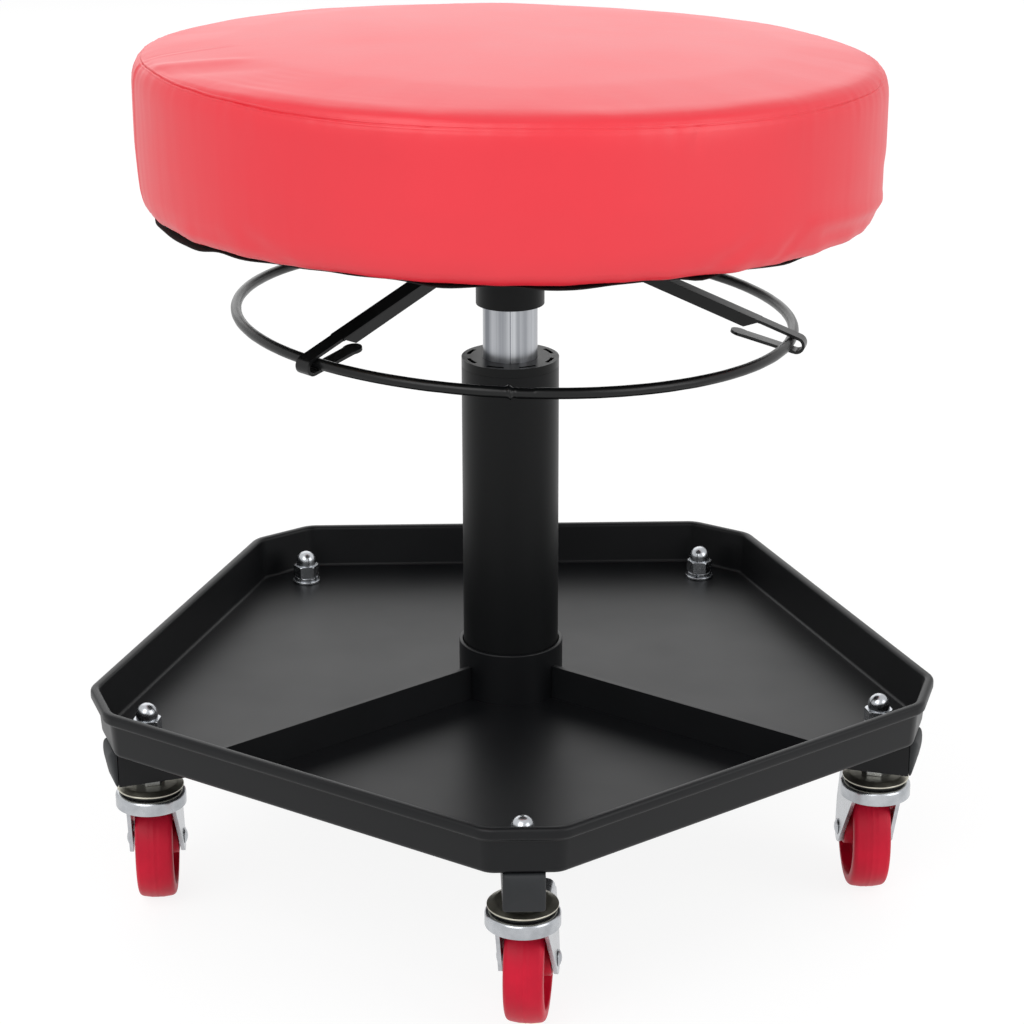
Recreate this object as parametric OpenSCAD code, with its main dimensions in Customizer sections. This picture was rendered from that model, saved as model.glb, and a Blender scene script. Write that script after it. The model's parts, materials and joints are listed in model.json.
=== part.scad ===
// Roller work stool: a round padded seat on a gas lift, over a five-sided tool tray on casters.
// Millimetres. Z is up, the floor is z = 0, the column stands on the Z axis, and one corner of
// the tray points along -Y. The seat is drawn at its lowest height.

/* [Casters] */
// Diameter of a wheel
wheel_d = 64; // [58:1:68]
// Width of a wheel over its tread
wheel_w = 20; // [16:1:21]
// Distance from the swivel axis back to the axle
caster_trail = 28; // [22:1:30]
// Diameter of the ring that holds the five casters
caster_circle_d = 394; // [380:2:400]
// Diameter of the drawn cup on top of a fork
fork_cup_d = 36.2; // [33:0.2:38]
// Thickness of the fork steel
fork_sheet = 2; // [1.5:0.1:2.4]

/* [Tray] */
// Height of the tray floor above the ground
tray_floor_z = 102; // [100:1:120]
// Height of the tray rim above the tray floor
tray_depth = 24; // [18:1:36]
// Distance from the column axis to the outside of a long wall
tray_flat = 187.5; // [180:0.5:200]
// Distance from the column axis to the outside of a cut corner
tray_point = 219; // [212:0.5:226]
// Thickness of the tray and divider sheet
tray_sheet = 1.2; // [0.8:0.1:1.6]
// How far the rim flares out past the wall
rim_flare = 3.5; // [2:0.25:5]
// Height of the two dividers above the tray floor
divider_h = 18; // [10:1:20]

/* [Column] */
// Outside diameter of the stand tube
stand_d = 50; // [46:1:56]
// Height of the top of the guide bush above the tray floor
stand_h = 183; // [170:1:200]
// Diameter of the gas cylinder
cylinder_d = 28; // [26:0.5:30]
// Height of the collar that stands above the tray floor
collar_h = 28; // [20:1:40]
// Side of the square leg tube
leg_side = 20; // [18:0.5:22]
// Travel of the gas lift
lift_travel = 130; // [60:5:130]

/* [Seat] */
// Diameter of the cushion at its widest
seat_d = 375; // [350:5:390]
// Height of the cushion at its top seam
cushion_h = 73; // [60:1:90]
// Rise of the crown above the seam
crown_h = 12; // [6:1:20]
// Length of gas cylinder that shows under the socket
cylinder_show = 28; // [24:1:60]

/* [Release ring] */
// Diameter of the release ring on its wire's centre line
ring_d = 282.6; // [270:1:300]
// Diameter of the ring wire
ring_wire = 6; // [5:0.5:7]
// Lean of the ring and its arms, which hang to one side in their play
ring_lean = 2.4; // [0:0.2:2.6]
// How far the ring hangs off centre, to the right
ring_shift = 2.5; // [0:0.5:2.5]

/* [Hidden] */

// Finish of round faces, and the overrun of every cut
$fn = 96;
cut = 1;
// Clearances: a turning or sliding fit, two faces that nearly touch, and a part in its hole
running = 0.05;
near = 0.3;
loose = 0.2;

// Places of the five corners, and the way each caster is turned
corners = [for (k = [0:4]) -90 + k * 72];
caster_turns = [-8, 0, 0, 0, 2];

// Heights of the running gear, from the ground up
wheel_r = wheel_d / 2;
axle_z = wheel_r;
wheel_clear = 1.4;
cup_wall = 7.2;
fork_top_z = wheel_d + wheel_clear + cup_wall;
race_gap = 1.9;
caster_plate_t = 2.6;
plate_top_z = fork_top_z + race_gap + caster_plate_t;
leg_bottom_z = tray_floor_z - tray_sheet - leg_side;

// Caster parts
caster_r = caster_circle_d / 2;
caster_plate_d = 34.2;
stem_d = 8;
stem_collar_af = 13;
stem_head_d = 14;
stem_head_h = 2;
stem_foot_z = fork_top_z - fork_sheet - running - stem_head_h;
race_ring_d = 31;
race_ring_bore = 18;
hub_proud = 1.5;
hub_play = 0.7;
wheel_hub_w = wheel_w + 2 * hub_proud;
fork_span = wheel_hub_w + 2 * (hub_play + fork_sheet);
fork_tilt = 3;
fork_bend = 4;
fork_tail = 8;
fork_eye_r = 8;
// Front edge of a cheek as a share of the cup, and its rear shoulder as shares of the eye
cheek_front_share = 0.45;
cheek_shoulder_shares = [0.3, 1.6];
cheek_back_share = 1.6;
rivet_d = 6;
rivet_head_d = 9;
rivet_head_h = 1.6;
wheel_shoulder = 3.5;
wheel_rim = 7;
wheel_dish = 6.5;
wheel_edge = 1;
wheel_hub_d = 19;
bush_d = 10;

// Tray parts
wall_draft = 1.5;
corner_round = 12;
floor_round = 3;
rim_top_round = 1.4;
rim_height = 7;
// Points of the rim's flare as shares of its overhang and of its height, and its inner edge
flare_shares = [[0, 0], [0.3, 0.2], [0.85, 0.42], [1, 0.6]];
rim_inner_share = 0.3;
hub_hole_clear = 0.2;
stud_hole_d = 8.6;
divider_turn = 51.3;
divider_hem = 4;
divider_hem_gap = 0.2;
divider_flange = 9;

// Leg parts
leg_wall = 1.5;
leg_end = 18;
leg_tip_r = caster_r + leg_end;
cap_bulge = 4.5;
cap_plug_gap = 1;
cap_plug_l = leg_end - stem_d / 2 - cap_plug_gap;
cap_plug_wall = 2;
cap_bow_r = 30;

// Fasteners on the tray
washer_d = 16;
washer_t = 1.6;
spring_washer_d = 14;
spring_washer_t = 2;
spring_slit = 1.6;
spring_slit_turn = 200;
nut_af = 13;
nut_h = 7;
nut_chamfer = 0.9;
nut_neck = 1;
nut_crown = 4;
dome_r = 5.6;
cap_nut_h = 15;
nut_base_z = tray_floor_z + washer_t + spring_washer_t;
stem_top_z = nut_base_z + cap_nut_h - nut_crown;

// Column parts
stand_wall = 2;
collar_wall = 2.2;
collar_play = 0.15;
hub_foot = 9;
hub_bottom_z = leg_bottom_z - hub_foot;
hub_r = stand_d / 2 + collar_wall + collar_play;
stand_top_z = tray_floor_z + stand_h;
bush_flange_t = 4.5;
bush_depth = 60;
bush_wall = 2.5;
bush_rib_w = 2;
bush_ribs = 8;
bush_slots = 8;
bush_slot_w = 2;
bush_slot_edge = 0.25;
bush_slot_angle = 24;
stand_foot = 14;
stand_bottom_z = hub_bottom_z - stand_foot;
tube_floor_t = 3;
clip_hole_d = 13;

// Gas lift, from its foot up
rod_d = 10;
rod_neck_d = 8;
cage_t = 4;
ball_count = 10;
ball_circle_r = 9;
cage_sheet = 2;
bearing_washer_t = 1.5;
bearing_washer_d = 26;
bearing_z = stand_bottom_z + tube_floor_t;
rod_shoulder_z = bearing_z + 2 * bearing_washer_t + cage_t;
clip_d = 15;
clip_t = 1.2;
clip_mouth_share = 0.7;
clip_z = stand_bottom_z - clip_t;
rod_tail = 3;
buffer_h = 8;
buffer_d = 22;
buffer_top_d = 18;
cylinder_wall = 2;
cylinder_foot_z = rod_shoulder_z + buffer_h + near;
seal_h = 18;
piston_h = 10;
piston_groove = 2.5;
piston_groove_depth = 1.25;
top_stop_gap = 4;
piston_z = cylinder_foot_z + seal_h + lift_travel + top_stop_gap;
socket_z = stand_top_z + cylinder_show;
socket_d = 35;
cone_h = 30;
cone_taper = 2;
cone_top_d = cylinder_d - cone_taper;
cylinder_top_z = socket_z + cone_h;
valve_body_h = 24;
valve_pin_d = 8;
valve_pin_h = 6;
pin_dome_r = 9;
pin_top_z = cylinder_top_z + valve_pin_h;

// Release parts
ring_r = ring_d / 2;
ring_drop = 4.7;
ring_z = socket_z - ring_drop;
disc_z = pin_top_z + near;
disc_t = 2.5;
disc_d = 34;
arm_azimuths = [-134, -16, 105];
arm_w = 9.4;
arm_t = 1.5;
arm_flange = 6.5;
arm_slope = 18.5;
arm_flange_r = 40;
arm_flange_end_r = 126;
arm_flange_cut = 8;
tongue_w = 8.2;
strip_l = 29;
strip_slope = 12.5;
strip_tip_d = 9.6;
hook_pinch = 0.15;
rivet_shank_d = 4;
rivet_circle_r = 12;
rivet_cap_h = 1;
rivet_cap_d = 7.2;
weld_nub_d = 7.4;
weld_nub_l = 3;
cup_r = 37;
cup_sheet = 2;
cup_drop = 9;
cup_floor_z = cylinder_top_z - cup_drop;
window_w = 18;
window_drop = 1.5;
window_top_z = disc_z + disc_t - window_drop;
lift_room = 10;
arm_top_z = disc_z + disc_t + arm_t;

// Hook: its bend is a little smaller than the wire, which rests between tongue and strip
hook_half = (arm_slope - strip_slope) / 2;
hook_mid = (arm_slope + strip_slope) / 2;
hook_bend_r = ring_wire / 2 - hook_pinch;
hook_slide = (hook_pinch + running) / sin(hook_half);
hook_at = [ring_r + hook_slide * cos(hook_mid), ring_z - hook_slide * sin(hook_mid)];
hook_top = hook_at + (hook_bend_r + arm_t) * [sin(arm_slope), cos(arm_slope)];
arm_level_r = hook_top[0] - (arm_top_z - hook_top[1]) / tan(arm_slope);

// Seat parts
seat_plate_t = 2.5;
seat_plate_w = 160;
seat_plate_round = 12;
plate_hole_pitch = 120;
screw_d = 6;
screw_head_d = 13;
screw_head_h = 3;
screw_face_d = 9;
screw_key_af = 4;
screw_key_depth = 1.5;
plate_z = disc_z + disc_t + lift_room;
cover_z = plate_z + seat_plate_t + near;
cover_t = 0.8;
cushion_z = cover_z + cover_t + near;
vinyl_lip = 2.7;
board_z = cushion_z + vinyl_lip + near;
board_t = 12;
board_in = 15.5;
cover_in = 13.5;
lip_in = 37.5;
board_d = seat_d - 2 * board_in;
cover_d = seat_d - 2 * cover_in;
lip_d = seat_d - 2 * lip_in;
tee_nut_d = 9;
tee_flange_d = 19;
tee_flange_t = 1.4;
tee_barrel_l = 8;
screw_len = board_z + board_t - plate_z;
seam_z = cushion_z + cushion_h;
seam_groove = 0.8;
seam_drop = 1.6;
crown_power = 2.4;
crown_steps = 12;

// Shares of the cushion's height and radius that shape its side, from the bottom edge up
side_height_shares = [0, 0.03, 0.1, 0.22, 0.4, 0.62, 0.82, 0.94];
side_radius_shares = [0.945, 0.965, 0.981, 0.9925, 0.999, 1, 0.9975, 0.993];
seam_radius_share = 0.9893;

// Intersection of two edges whose outward normals point at angles a and b
function edge_meet(a, da, b, db) =
    [da * sin(b) - db * sin(a), db * cos(a) - da * cos(b)] / sin(b - a);

// Outline of the tray: long walls at distance flat, cut corners at distance point, rounded
function tray_outline(flat, point, round, steps = 4) = [
    for (k = [0:9])
        let (a = -90 + 36 * k, b = a + 36,
             da = (k % 2 == 0 ? point : flat) - round,
             db = (k % 2 == 0 ? flat : point) - round,
             centre = edge_meet(a, da, b, db))
        for (s = [0:steps])
            let (t = a + (b - a) * s / steps)
            centre + round * [cos(t), sin(t)]
];

// Outline grown by a distance
function grown_outline(grow) =
    tray_outline(tray_flat + grow, tray_point + grow, max(corner_round + grow, tray_sheet));

// Arc of points round a centre
function arc(centre, r, from, to, steps = 6) =
    [for (s = [0:steps]) let (t = from + (to - from) * s / steps) centre + r * [cos(t), sin(t)]];

// Closed skin that follows the tray outline with a section of [growth, height] points
module outline_sweep(section) {
    rings = [for (p = section) [for (q = grown_outline(p[0])) [q[0], q[1], p[1]]]];
    n = len(rings);
    m = len(rings[0]);
    polyhedron(
        points = [for (ring = rings) for (q = ring) q],
        faces = [for (i = [0:n - 1]) for (j = [0:m - 1])
            let (i2 = (i + 1) % n, j2 = (j + 1) % m)
            [i * m + j, i2 * m + j, i2 * m + j2, i * m + j2]],
        convexity = 6);
}

// Places its children at each corner of the tray, at the caster circle
module at_corners() {
    for (a = corners) rotate([0, 0, a]) translate([caster_r, 0, 0]) children();
}

// Hexagon across flats
module hex_prism(af, h) {
    cylinder(d = af / cos(30), h = h, $fn = 6);
}

// Tube standing on z = 0
module tube(d, bore, h) {
    difference() {
        cylinder(d = d, h = h);
        translate([0, 0, -cut]) cylinder(d = bore, h = h + 2 * cut);
    }
}

// Frame and tray

module hub_tube() {
    color("black")
    translate([0, 0, hub_bottom_z])
        tube(stand_d + 2 * (collar_wall + collar_play), stand_d + 2 * collar_play,
             tray_floor_z + collar_h - hub_bottom_z);
}

module leg(a) {
    rotate([0, 0, a])
    difference() {
        translate([0, -leg_side / 2, leg_bottom_z]) cube([leg_tip_r, leg_side, leg_side]);
        translate([-cut, leg_wall - leg_side / 2, leg_bottom_z + leg_wall])
            cube([leg_tip_r + 2 * cut, leg_side - 2 * leg_wall, leg_side - 2 * leg_wall]);
        translate([0, 0, leg_bottom_z - cut]) cylinder(r = hub_r, h = leg_side + 2 * cut);
        translate([caster_r, 0, leg_bottom_z - cut])
            cylinder(d = stem_d + 2 * loose, h = leg_side + 2 * cut);
    }
}

module legs() {
    color("black") for (a = corners) leg(a);
}

// Plug that closes a leg, with a face bowed in plan and drawn in towards its foot
module leg_cap() {
    inner = leg_side - 2 * leg_wall - 2 * loose;
    color("dimgray") {
        translate([leg_tip_r, 0, leg_bottom_z + leg_side / 2])
        intersection() {
            translate([0, -leg_side / 2, -leg_side / 2]) cube([cap_bulge, leg_side, leg_side]);
            translate([cap_bulge - cap_bow_r, 0, -leg_side]) cylinder(r = cap_bow_r, h = 2 * leg_side);
            translate([cap_bulge - cap_bow_r, leg_side, leg_side / 5]) rotate([90, 0, 0])
                cylinder(r = cap_bow_r, h = 2 * leg_side);
        }
        translate([leg_tip_r - cap_plug_l, -inner / 2, leg_bottom_z + leg_side / 2 - inner / 2])
        difference() {
            cube([cap_plug_l, inner, inner]);
            translate([-cut, cap_plug_wall, cap_plug_wall])
                cube([cap_plug_l, inner - 2 * cap_plug_wall, inner - 2 * cap_plug_wall]);
        }
    }
}

module leg_caps() {
    for (a = corners) rotate([0, 0, a]) leg_cap();
}

// Pressed tray: drafted walls with a rounded foot and a rim that flares out and folds over
module tool_tray() {
    floor_low = tray_floor_z - tray_sheet;
    rim_z = tray_floor_z + tray_depth;
    flare_z = rim_z - rim_height;
    foot = -wall_draft;
    foot_in = foot - floor_round - tray_sheet;
    section = concat(
        [[foot_in, floor_low]],
        arc([foot_in, floor_low + floor_round + tray_sheet], floor_round + tray_sheet, -72, 0, 4),
        [for (s = flare_shares) [rim_flare * s[0], flare_z + rim_height * s[1]]],
        arc([rim_flare - rim_top_round, rim_z - rim_top_round], rim_top_round, 0, 90, 3),
        arc([rim_flare * rim_inner_share, rim_z - rim_top_round], rim_top_round, 90, 160, 3),
        [[-tray_sheet, flare_z + rim_height * rim_inner_share], [-tray_sheet, flare_z]],
        arc([foot_in, tray_floor_z + floor_round], floor_round, 0, -90, 4));
    color([0.09, 0.09, 0.095])
    difference() {
        union() {
            outline_sweep(section);
            translate([0, 0, floor_low]) linear_extrude(tray_sheet)
                polygon(grown_outline(foot_in));
        }
        translate([0, 0, floor_low - cut])
            cylinder(r = hub_r + hub_hole_clear, h = tray_sheet + 2 * cut);
        at_corners() translate([0, 0, floor_low - cut])
            cylinder(d = stud_hole_d, h = tray_sheet + 2 * cut);
    }
}

// Radial divider: upright sheet with a hem folded over at the top and a flange along its foot
module divider(side) {
    start = hub_r + hub_hole_clear;
    wall_x = (tray_flat - wall_draft - tray_sheet) / cos(divider_turn - 36);
    reach = wall_x - floor_round / 2;
    rotate([0, 0, -90 + side * divider_turn])
    translate([0, 0, tray_floor_z]) {
        difference() {
            translate([start, -tray_sheet / 2, 0]) cube([reach - start, tray_sheet, divider_h]);
            translate([wall_x, 0, -cut]) rotate([0, 0, side * (36 - divider_turn)])
                translate([-near, -divider_h, 0]) cube([divider_h, 2 * divider_h, divider_h + 2 * cut]);
            translate([reach, -divider_h, 0]) rotate([0, 45, 0])
                translate([-floor_round, 0, -floor_round])
                    cube([2 * floor_round, 2 * divider_h, 2 * floor_round]);
        }
        translate([start, side * (tray_sheet / 2 + divider_hem_gap), divider_h - divider_hem])
            mirror([0, side < 0 ? 1 : 0, 0])
            cube([reach - start - floor_round, tray_sheet, divider_hem]);
        translate([start, side * (tray_sheet / 2 - near), divider_h - tray_sheet])
            mirror([0, side < 0 ? 1 : 0, 0])
            cube([reach - start - floor_round, divider_hem_gap + 2 * near, tray_sheet]);
        translate([start, 0, 0]) mirror([0, side < 0 ? 1 : 0, 0])
            cube([reach - start - divider_flange, divider_flange, tray_sheet]);
    }
}

module divider_left() {
    color([0.09, 0.09, 0.095]) divider(-1);
}

module divider_right() {
    color([0.09, 0.09, 0.095]) divider(1);
}

// Tray fasteners

module cap_nut() {
    nut_top = nut_base_z + nut_h;
    dome_z = nut_base_z + cap_nut_h - dome_r;
    color("silver")
    difference() {
        union() {
            intersection() {
                translate([0, 0, nut_base_z]) hex_prism(nut_af, nut_h);
                translate([0, 0, nut_base_z])
                    cylinder(r1 = nut_af / 2 + nut_h, r2 = nut_af / 2 + nut_chamfer / 2, h = nut_h);
            }
            translate([0, 0, nut_top - nut_neck]) cylinder(r = dome_r, h = dome_z - nut_top + nut_neck);
            translate([0, 0, dome_z]) sphere(r = dome_r);
        }
        translate([0, 0, nut_base_z - cut]) cylinder(d = stem_d, h = stem_top_z - nut_base_z + cut);
    }
}

module cap_nuts() {
    at_corners() cap_nut();
}

module spring_washers() {
    color("silver")
    at_corners() translate([0, 0, tray_floor_z + washer_t])
    difference() {
        tube(spring_washer_d, stem_d + 2 * loose, spring_washer_t);
        rotate([0, 0, spring_slit_turn]) translate([0, -spring_slit / 2, -cut])
            cube([spring_washer_d, spring_slit, spring_washer_t + 2 * cut]);
    }
}

module flat_washers() {
    color("silver")
    at_corners() translate([0, 0, tray_floor_z]) tube(washer_d, stem_d + 2 * loose, washer_t);
}

// Casters

module at_caster(k) {
    rotate([0, 0, corners[k]]) translate([caster_r, 0, 0])
        rotate([0, 0, caster_turns[k] - corners[k]]) children();
}

module caster_stems() {
    color("silver")
    at_corners() {
        translate([0, 0, stem_foot_z]) cylinder(d = stem_d, h = stem_top_z - stem_foot_z);
        translate([0, 0, stem_foot_z]) cylinder(d = stem_head_d, h = stem_head_h);
        translate([0, 0, plate_top_z]) hex_prism(stem_collar_af, leg_bottom_z - plate_top_z);
    }
}

// Top plate of a caster: a disc with a rounded, turned-down edge
module caster_plates() {
    edge = caster_plate_t / 2;
    plate_r = caster_plate_d / 2;
    color("silver")
    at_corners() translate([0, 0, fork_top_z + race_gap])
    rotate_extrude()
    polygon(concat(
        [[stem_d / 2, 0], [plate_r - edge, 0]],
        arc([plate_r - edge, edge], edge, -60, 90, 5),
        [[stem_d / 2, caster_plate_t]]));
}

module race_rings() {
    color("black")
    at_corners() translate([0, 0, fork_top_z + running])
        tube(race_ring_d, race_ring_bore, race_gap - 2 * running);
}

// Fork: a drawn cup under the race, and a channel whose two cheeks lean out and sweep back to the axle
module caster_fork(k) {
    cup_r_out = fork_cup_d / 2;
    front = cup_r_out * cheek_front_share;
    eye = [caster_trail, axle_z - fork_top_z];
    tail = caster_trail + fork_tail;
    leg = [fork_span / 2 - fork_eye_r * tan(fork_tilt), eye[1] + fork_eye_r];
    foot = leg + 3 * fork_eye_r * [tan(fork_tilt), -1];
    bend = [leg[0] + (leg[1] + fork_bend) * tan(fork_tilt) - fork_bend, -fork_bend];
    half = concat([foot], arc(bend, fork_bend, 0, 90, 4));
    inner = concat(arc(bend, fork_bend - fork_sheet, 90, 0, 4), [foot - [fork_sheet, 0]]);
    side = concat(
        [[-front, cut], [-front, -cup_wall]],
        arc(eye, fork_eye_r, 200, 340, 6),
        [[tail + fork_eye_r * cheek_shoulder_shares[0], eye[1] + fork_eye_r * cheek_shoulder_shares[1]],
         [tail, -fork_bend * cheek_back_share], [tail - fork_bend, -fork_bend], [tail - fork_bend, cut]]);
    color("silver")
    at_caster(k) translate([0, 0, fork_top_z])
    difference() {
        union() {
            rotate_extrude()
            polygon(concat(
                [[0, 0]],
                arc([cup_r_out - fork_bend / 2, -fork_bend / 2], fork_bend / 2, 90, 0, 4),
                [[cup_r_out, -cup_wall], [cup_r_out - fork_sheet, -cup_wall],
                 [cup_r_out - fork_sheet, -fork_sheet], [0, -fork_sheet]]));
            intersection() {
                rotate([90, 0, 0]) translate([0, 0, -2 * tail]) linear_extrude(3 * tail)
                polygon(concat(
                    half, [for (i = [len(half) - 1:-1:0]) [-half[i][0], half[i][1]]],
                    [for (i = [len(inner) - 1:-1:0]) [-inner[i][0], inner[i][1]]], inner));
                translate([-fork_span, 0, 0]) rotate([90, 0, 90])
                    linear_extrude(2 * fork_span) polygon(side);
            }
        }
        translate([0, 0, -fork_sheet - cut]) cylinder(d = stem_d + 2 * running, h = fork_sheet + 2 * cut);
        translate([0, caster_trail, axle_z - fork_top_z]) rotate([0, 90, 0])
            translate([0, 0, -fork_span]) cylinder(d = rivet_d, h = 2 * fork_span);
    }
}

// Axle: a plain rivet with a domed head on each cheek
module caster_axle(k) {
    head_r = (rivet_head_d * rivet_head_d / 4 + rivet_head_h * rivet_head_h) / (2 * rivet_head_h);
    span = fork_span + rivet_head_d * tan(fork_tilt);
    color("gainsboro")
    at_caster(k) translate([0, caster_trail, axle_z]) rotate([0, 90, 0]) {
        translate([0, 0, -span / 2]) cylinder(d = rivet_d, h = span);
        for (side = [-1, 1]) mirror([0, 0, side < 0 ? 1 : 0])
        intersection() {
            translate([0, 0, span / 2]) cylinder(d = rivet_head_d, h = rivet_head_h);
            translate([0, 0, span / 2 + rivet_head_h - head_r]) sphere(r = head_r);
        }
    }
}

// Wheel: solid tyre with rounded shoulders, a dished web and a hub
module caster_wheel(k) {
    half = wheel_w / 2;
    shoulder = wheel_shoulder;
    rim_in = wheel_r - wheel_rim;
    hub_r_out = wheel_hub_d / 2;
    web = half - wheel_dish;
    side = concat(
        arc([wheel_r - shoulder, half - shoulder], shoulder, 0, 90, 5),
        [[rim_in + wheel_edge, half], [rim_in, web + wheel_edge], [rim_in - wheel_edge, web],
         [hub_r_out + wheel_edge, web], [hub_r_out, web + wheel_edge],
         [hub_r_out - wheel_edge, wheel_hub_w / 2], [bush_d / 2, wheel_hub_w / 2]]);
    color([0.75, 0.13, 0.2])
    at_caster(k) translate([0, caster_trail, axle_z]) rotate([0, 90, 0])
    rotate_extrude()
    polygon(concat(side, [for (i = [len(side) - 1:-1:0]) [side[i][0], -side[i][1]]]));
}

module wheel_bush(k) {
    color("gray")
    at_caster(k) translate([-wheel_hub_w / 2, caster_trail, axle_z]) rotate([0, 90, 0])
        tube(bush_d, rivet_d + 2 * running, wheel_hub_w);
}

// Column and gas lift

module stand_tube() {
    color([0.07, 0.07, 0.075])
    translate([0, 0, stand_bottom_z])
    difference() {
        cylinder(d = stand_d, h = stand_h + tray_floor_z - stand_bottom_z - bush_flange_t);
        translate([0, 0, tube_floor_t])
            cylinder(d = stand_d - 2 * stand_wall, h = stand_top_z - stand_bottom_z);
        translate([0, 0, -cut]) cylinder(d = clip_hole_d, h = tube_floor_t + 2 * cut);
    }
}

// Guide bush: a flange on the tube, a barrel that guides the cylinder, ribs and moulded pockets
module guide_bush() {
    bore = cylinder_d + 2 * running;
    barrel_d = cylinder_d + 2 * bush_wall;
    seat = stand_d - 2 * stand_wall;
    flange_z = stand_top_z - bush_flange_t;
    slot_out = seat / 2 - bush_slot_edge;
    slot_in = slot_out - bush_slot_w;
    color([0.1, 0.1, 0.1])
    difference() {
        union() {
            translate([0, 0, flange_z]) cylinder(d = stand_d, h = bush_flange_t);
            translate([0, 0, flange_z - bush_depth])
                cylinder(d = barrel_d, h = bush_depth + bush_flange_t);
            for (k = [0:bush_ribs - 1]) rotate([0, 0, 360 * k / bush_ribs])
                translate([0, -bush_rib_w / 2, flange_z - bush_depth])
                intersection() {
                    cube([seat, bush_rib_w, bush_depth]);
                    cylinder(d = seat, h = bush_depth);
                }
        }
        translate([0, 0, flange_z - bush_depth - cut])
            cylinder(d = bore, h = bush_depth + bush_flange_t + 2 * cut);
        for (k = [0:bush_slots - 1])
            translate([0, 0, stand_top_z - bush_flange_t / 2])
            rotate([0, 0, 360 * (k + 0.5) / bush_slots - bush_slot_angle / 2])
            rotate_extrude(angle = bush_slot_angle)
                polygon([[slot_in, 0], [slot_out, 0], [slot_out, bush_flange_t], [slot_in, bush_flange_t]]);
    }
}

module bearing_washer_lower() {
    color("silver")
    translate([0, 0, bearing_z]) tube(bearing_washer_d, rod_neck_d + 2 * near, bearing_washer_t);
}

module at_balls() {
    translate([0, 0, bearing_z + bearing_washer_t + cage_t / 2])
        for (k = [0:ball_count - 1]) rotate([0, 0, 360 * k / ball_count])
            translate([ball_circle_r, 0, 0]) children();
}

module bearing_balls() {
    color("silver") at_balls() sphere(d = cage_t - 2 * running);
}

module ball_cage() {
    color("goldenrod")
    difference() {
        translate([0, 0, bearing_z + bearing_washer_t + cage_t / 2 - cage_sheet / 2])
            tube(bearing_washer_d, rod_neck_d + 2 * near, cage_sheet);
        at_balls() cylinder(d = cage_t + 2 * running, h = cage_t, center = true);
    }
}

module bearing_washer_upper() {
    color("silver")
    translate([0, 0, bearing_z + bearing_washer_t + cage_t])
        tube(bearing_washer_d, rod_neck_d, bearing_washer_t);
}

module piston_rod() {
    color("silver") {
        translate([0, 0, clip_z - rod_tail])
            cylinder(d = rod_neck_d, h = rod_shoulder_z - clip_z + rod_tail);
        translate([0, 0, rod_shoulder_z]) cylinder(d = rod_d, h = piston_z - rod_shoulder_z);
        translate([0, 0, piston_z]) cylinder(d = rod_neck_d, h = piston_h);
    }
}

module piston() {
    color("dimgray")
    translate([0, 0, piston_z])
    difference() {
        cylinder(d = cylinder_d - 2 * cylinder_wall - 2 * running, h = piston_h);
        translate([0, 0, -cut]) cylinder(d = rod_neck_d, h = piston_h + 2 * cut);
        translate([0, 0, piston_h / 2])
            tube(cylinder_d, cylinder_d - 2 * (cylinder_wall + piston_groove_depth), piston_groove);
    }
}

// Spring clip on the rod's tail, open on one side
module rod_clip() {
    color("gray")
    translate([0, 0, clip_z])
    difference() {
        tube(clip_d, rod_neck_d, clip_t - running);
        translate([0, -rod_neck_d * clip_mouth_share / 2, -cut])
            cube([clip_d, rod_neck_d * clip_mouth_share, clip_t + 2 * cut]);
    }
}

module rod_buffer() {
    color([0.15, 0.15, 0.15])
    translate([0, 0, rod_shoulder_z])
    difference() {
        cylinder(d1 = buffer_d, d2 = buffer_top_d, h = buffer_h);
        translate([0, 0, -cut]) cylinder(d = rod_d, h = buffer_h + 2 * cut);
    }
}

// Gas cylinder: bored tube, with its top drawn down to the cone that sits in the socket
module gas_cylinder() {
    inner_d = cylinder_d - 2 * cylinder_wall;
    color([0.78, 0.79, 0.8])
    difference() {
        union() {
            translate([0, 0, cylinder_foot_z]) cylinder(d = cylinder_d, h = socket_z - cylinder_foot_z);
            translate([0, 0, socket_z]) cylinder(d1 = cylinder_d, d2 = cone_top_d, h = cone_h);
        }
        translate([0, 0, cylinder_foot_z - cut])
            cylinder(d = inner_d, h = cylinder_top_z - cylinder_foot_z - cylinder_wall + cut);
        translate([0, 0, cylinder_top_z - cylinder_wall - cut])
            cylinder(d = valve_pin_d + 2 * running, h = cylinder_wall + 2 * cut);
    }
}

module cylinder_seal() {
    color([0.12, 0.12, 0.12])
    translate([0, 0, cylinder_foot_z])
    difference() {
        cylinder(d = cylinder_d - 2 * cylinder_wall, h = seal_h);
        translate([0, 0, -cut]) cylinder(d = rod_d + 2 * running, h = seal_h + 2 * cut);
    }
}

module valve_body() {
    top = cylinder_top_z - cylinder_wall;
    color("goldenrod")
    translate([0, 0, top - valve_body_h])
        tube(cylinder_d - 2 * cylinder_wall, valve_pin_d + 2 * running, valve_body_h);
}

module valve_pin() {
    low = cylinder_top_z - cylinder_wall - valve_body_h / 2;
    color("silver")
    intersection() {
        translate([0, 0, low]) cylinder(d = valve_pin_d, h = pin_top_z - low);
        translate([0, 0, pin_top_z - pin_dome_r]) sphere(r = pin_dome_r);
    }
    color("silver")
    translate([0, 0, low]) cylinder(d = valve_pin_d, h = cylinder_top_z - low);
}

// Seat mount: conical socket, pressed cup with three windows, plate and screws

module seat_socket() {
    color([0.07, 0.07, 0.075])
    translate([0, 0, socket_z])
    difference() {
        cylinder(d = socket_d, h = cone_h);
        cylinder(d1 = cylinder_d, d2 = cone_top_d, h = cone_h);
    }
}

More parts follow.
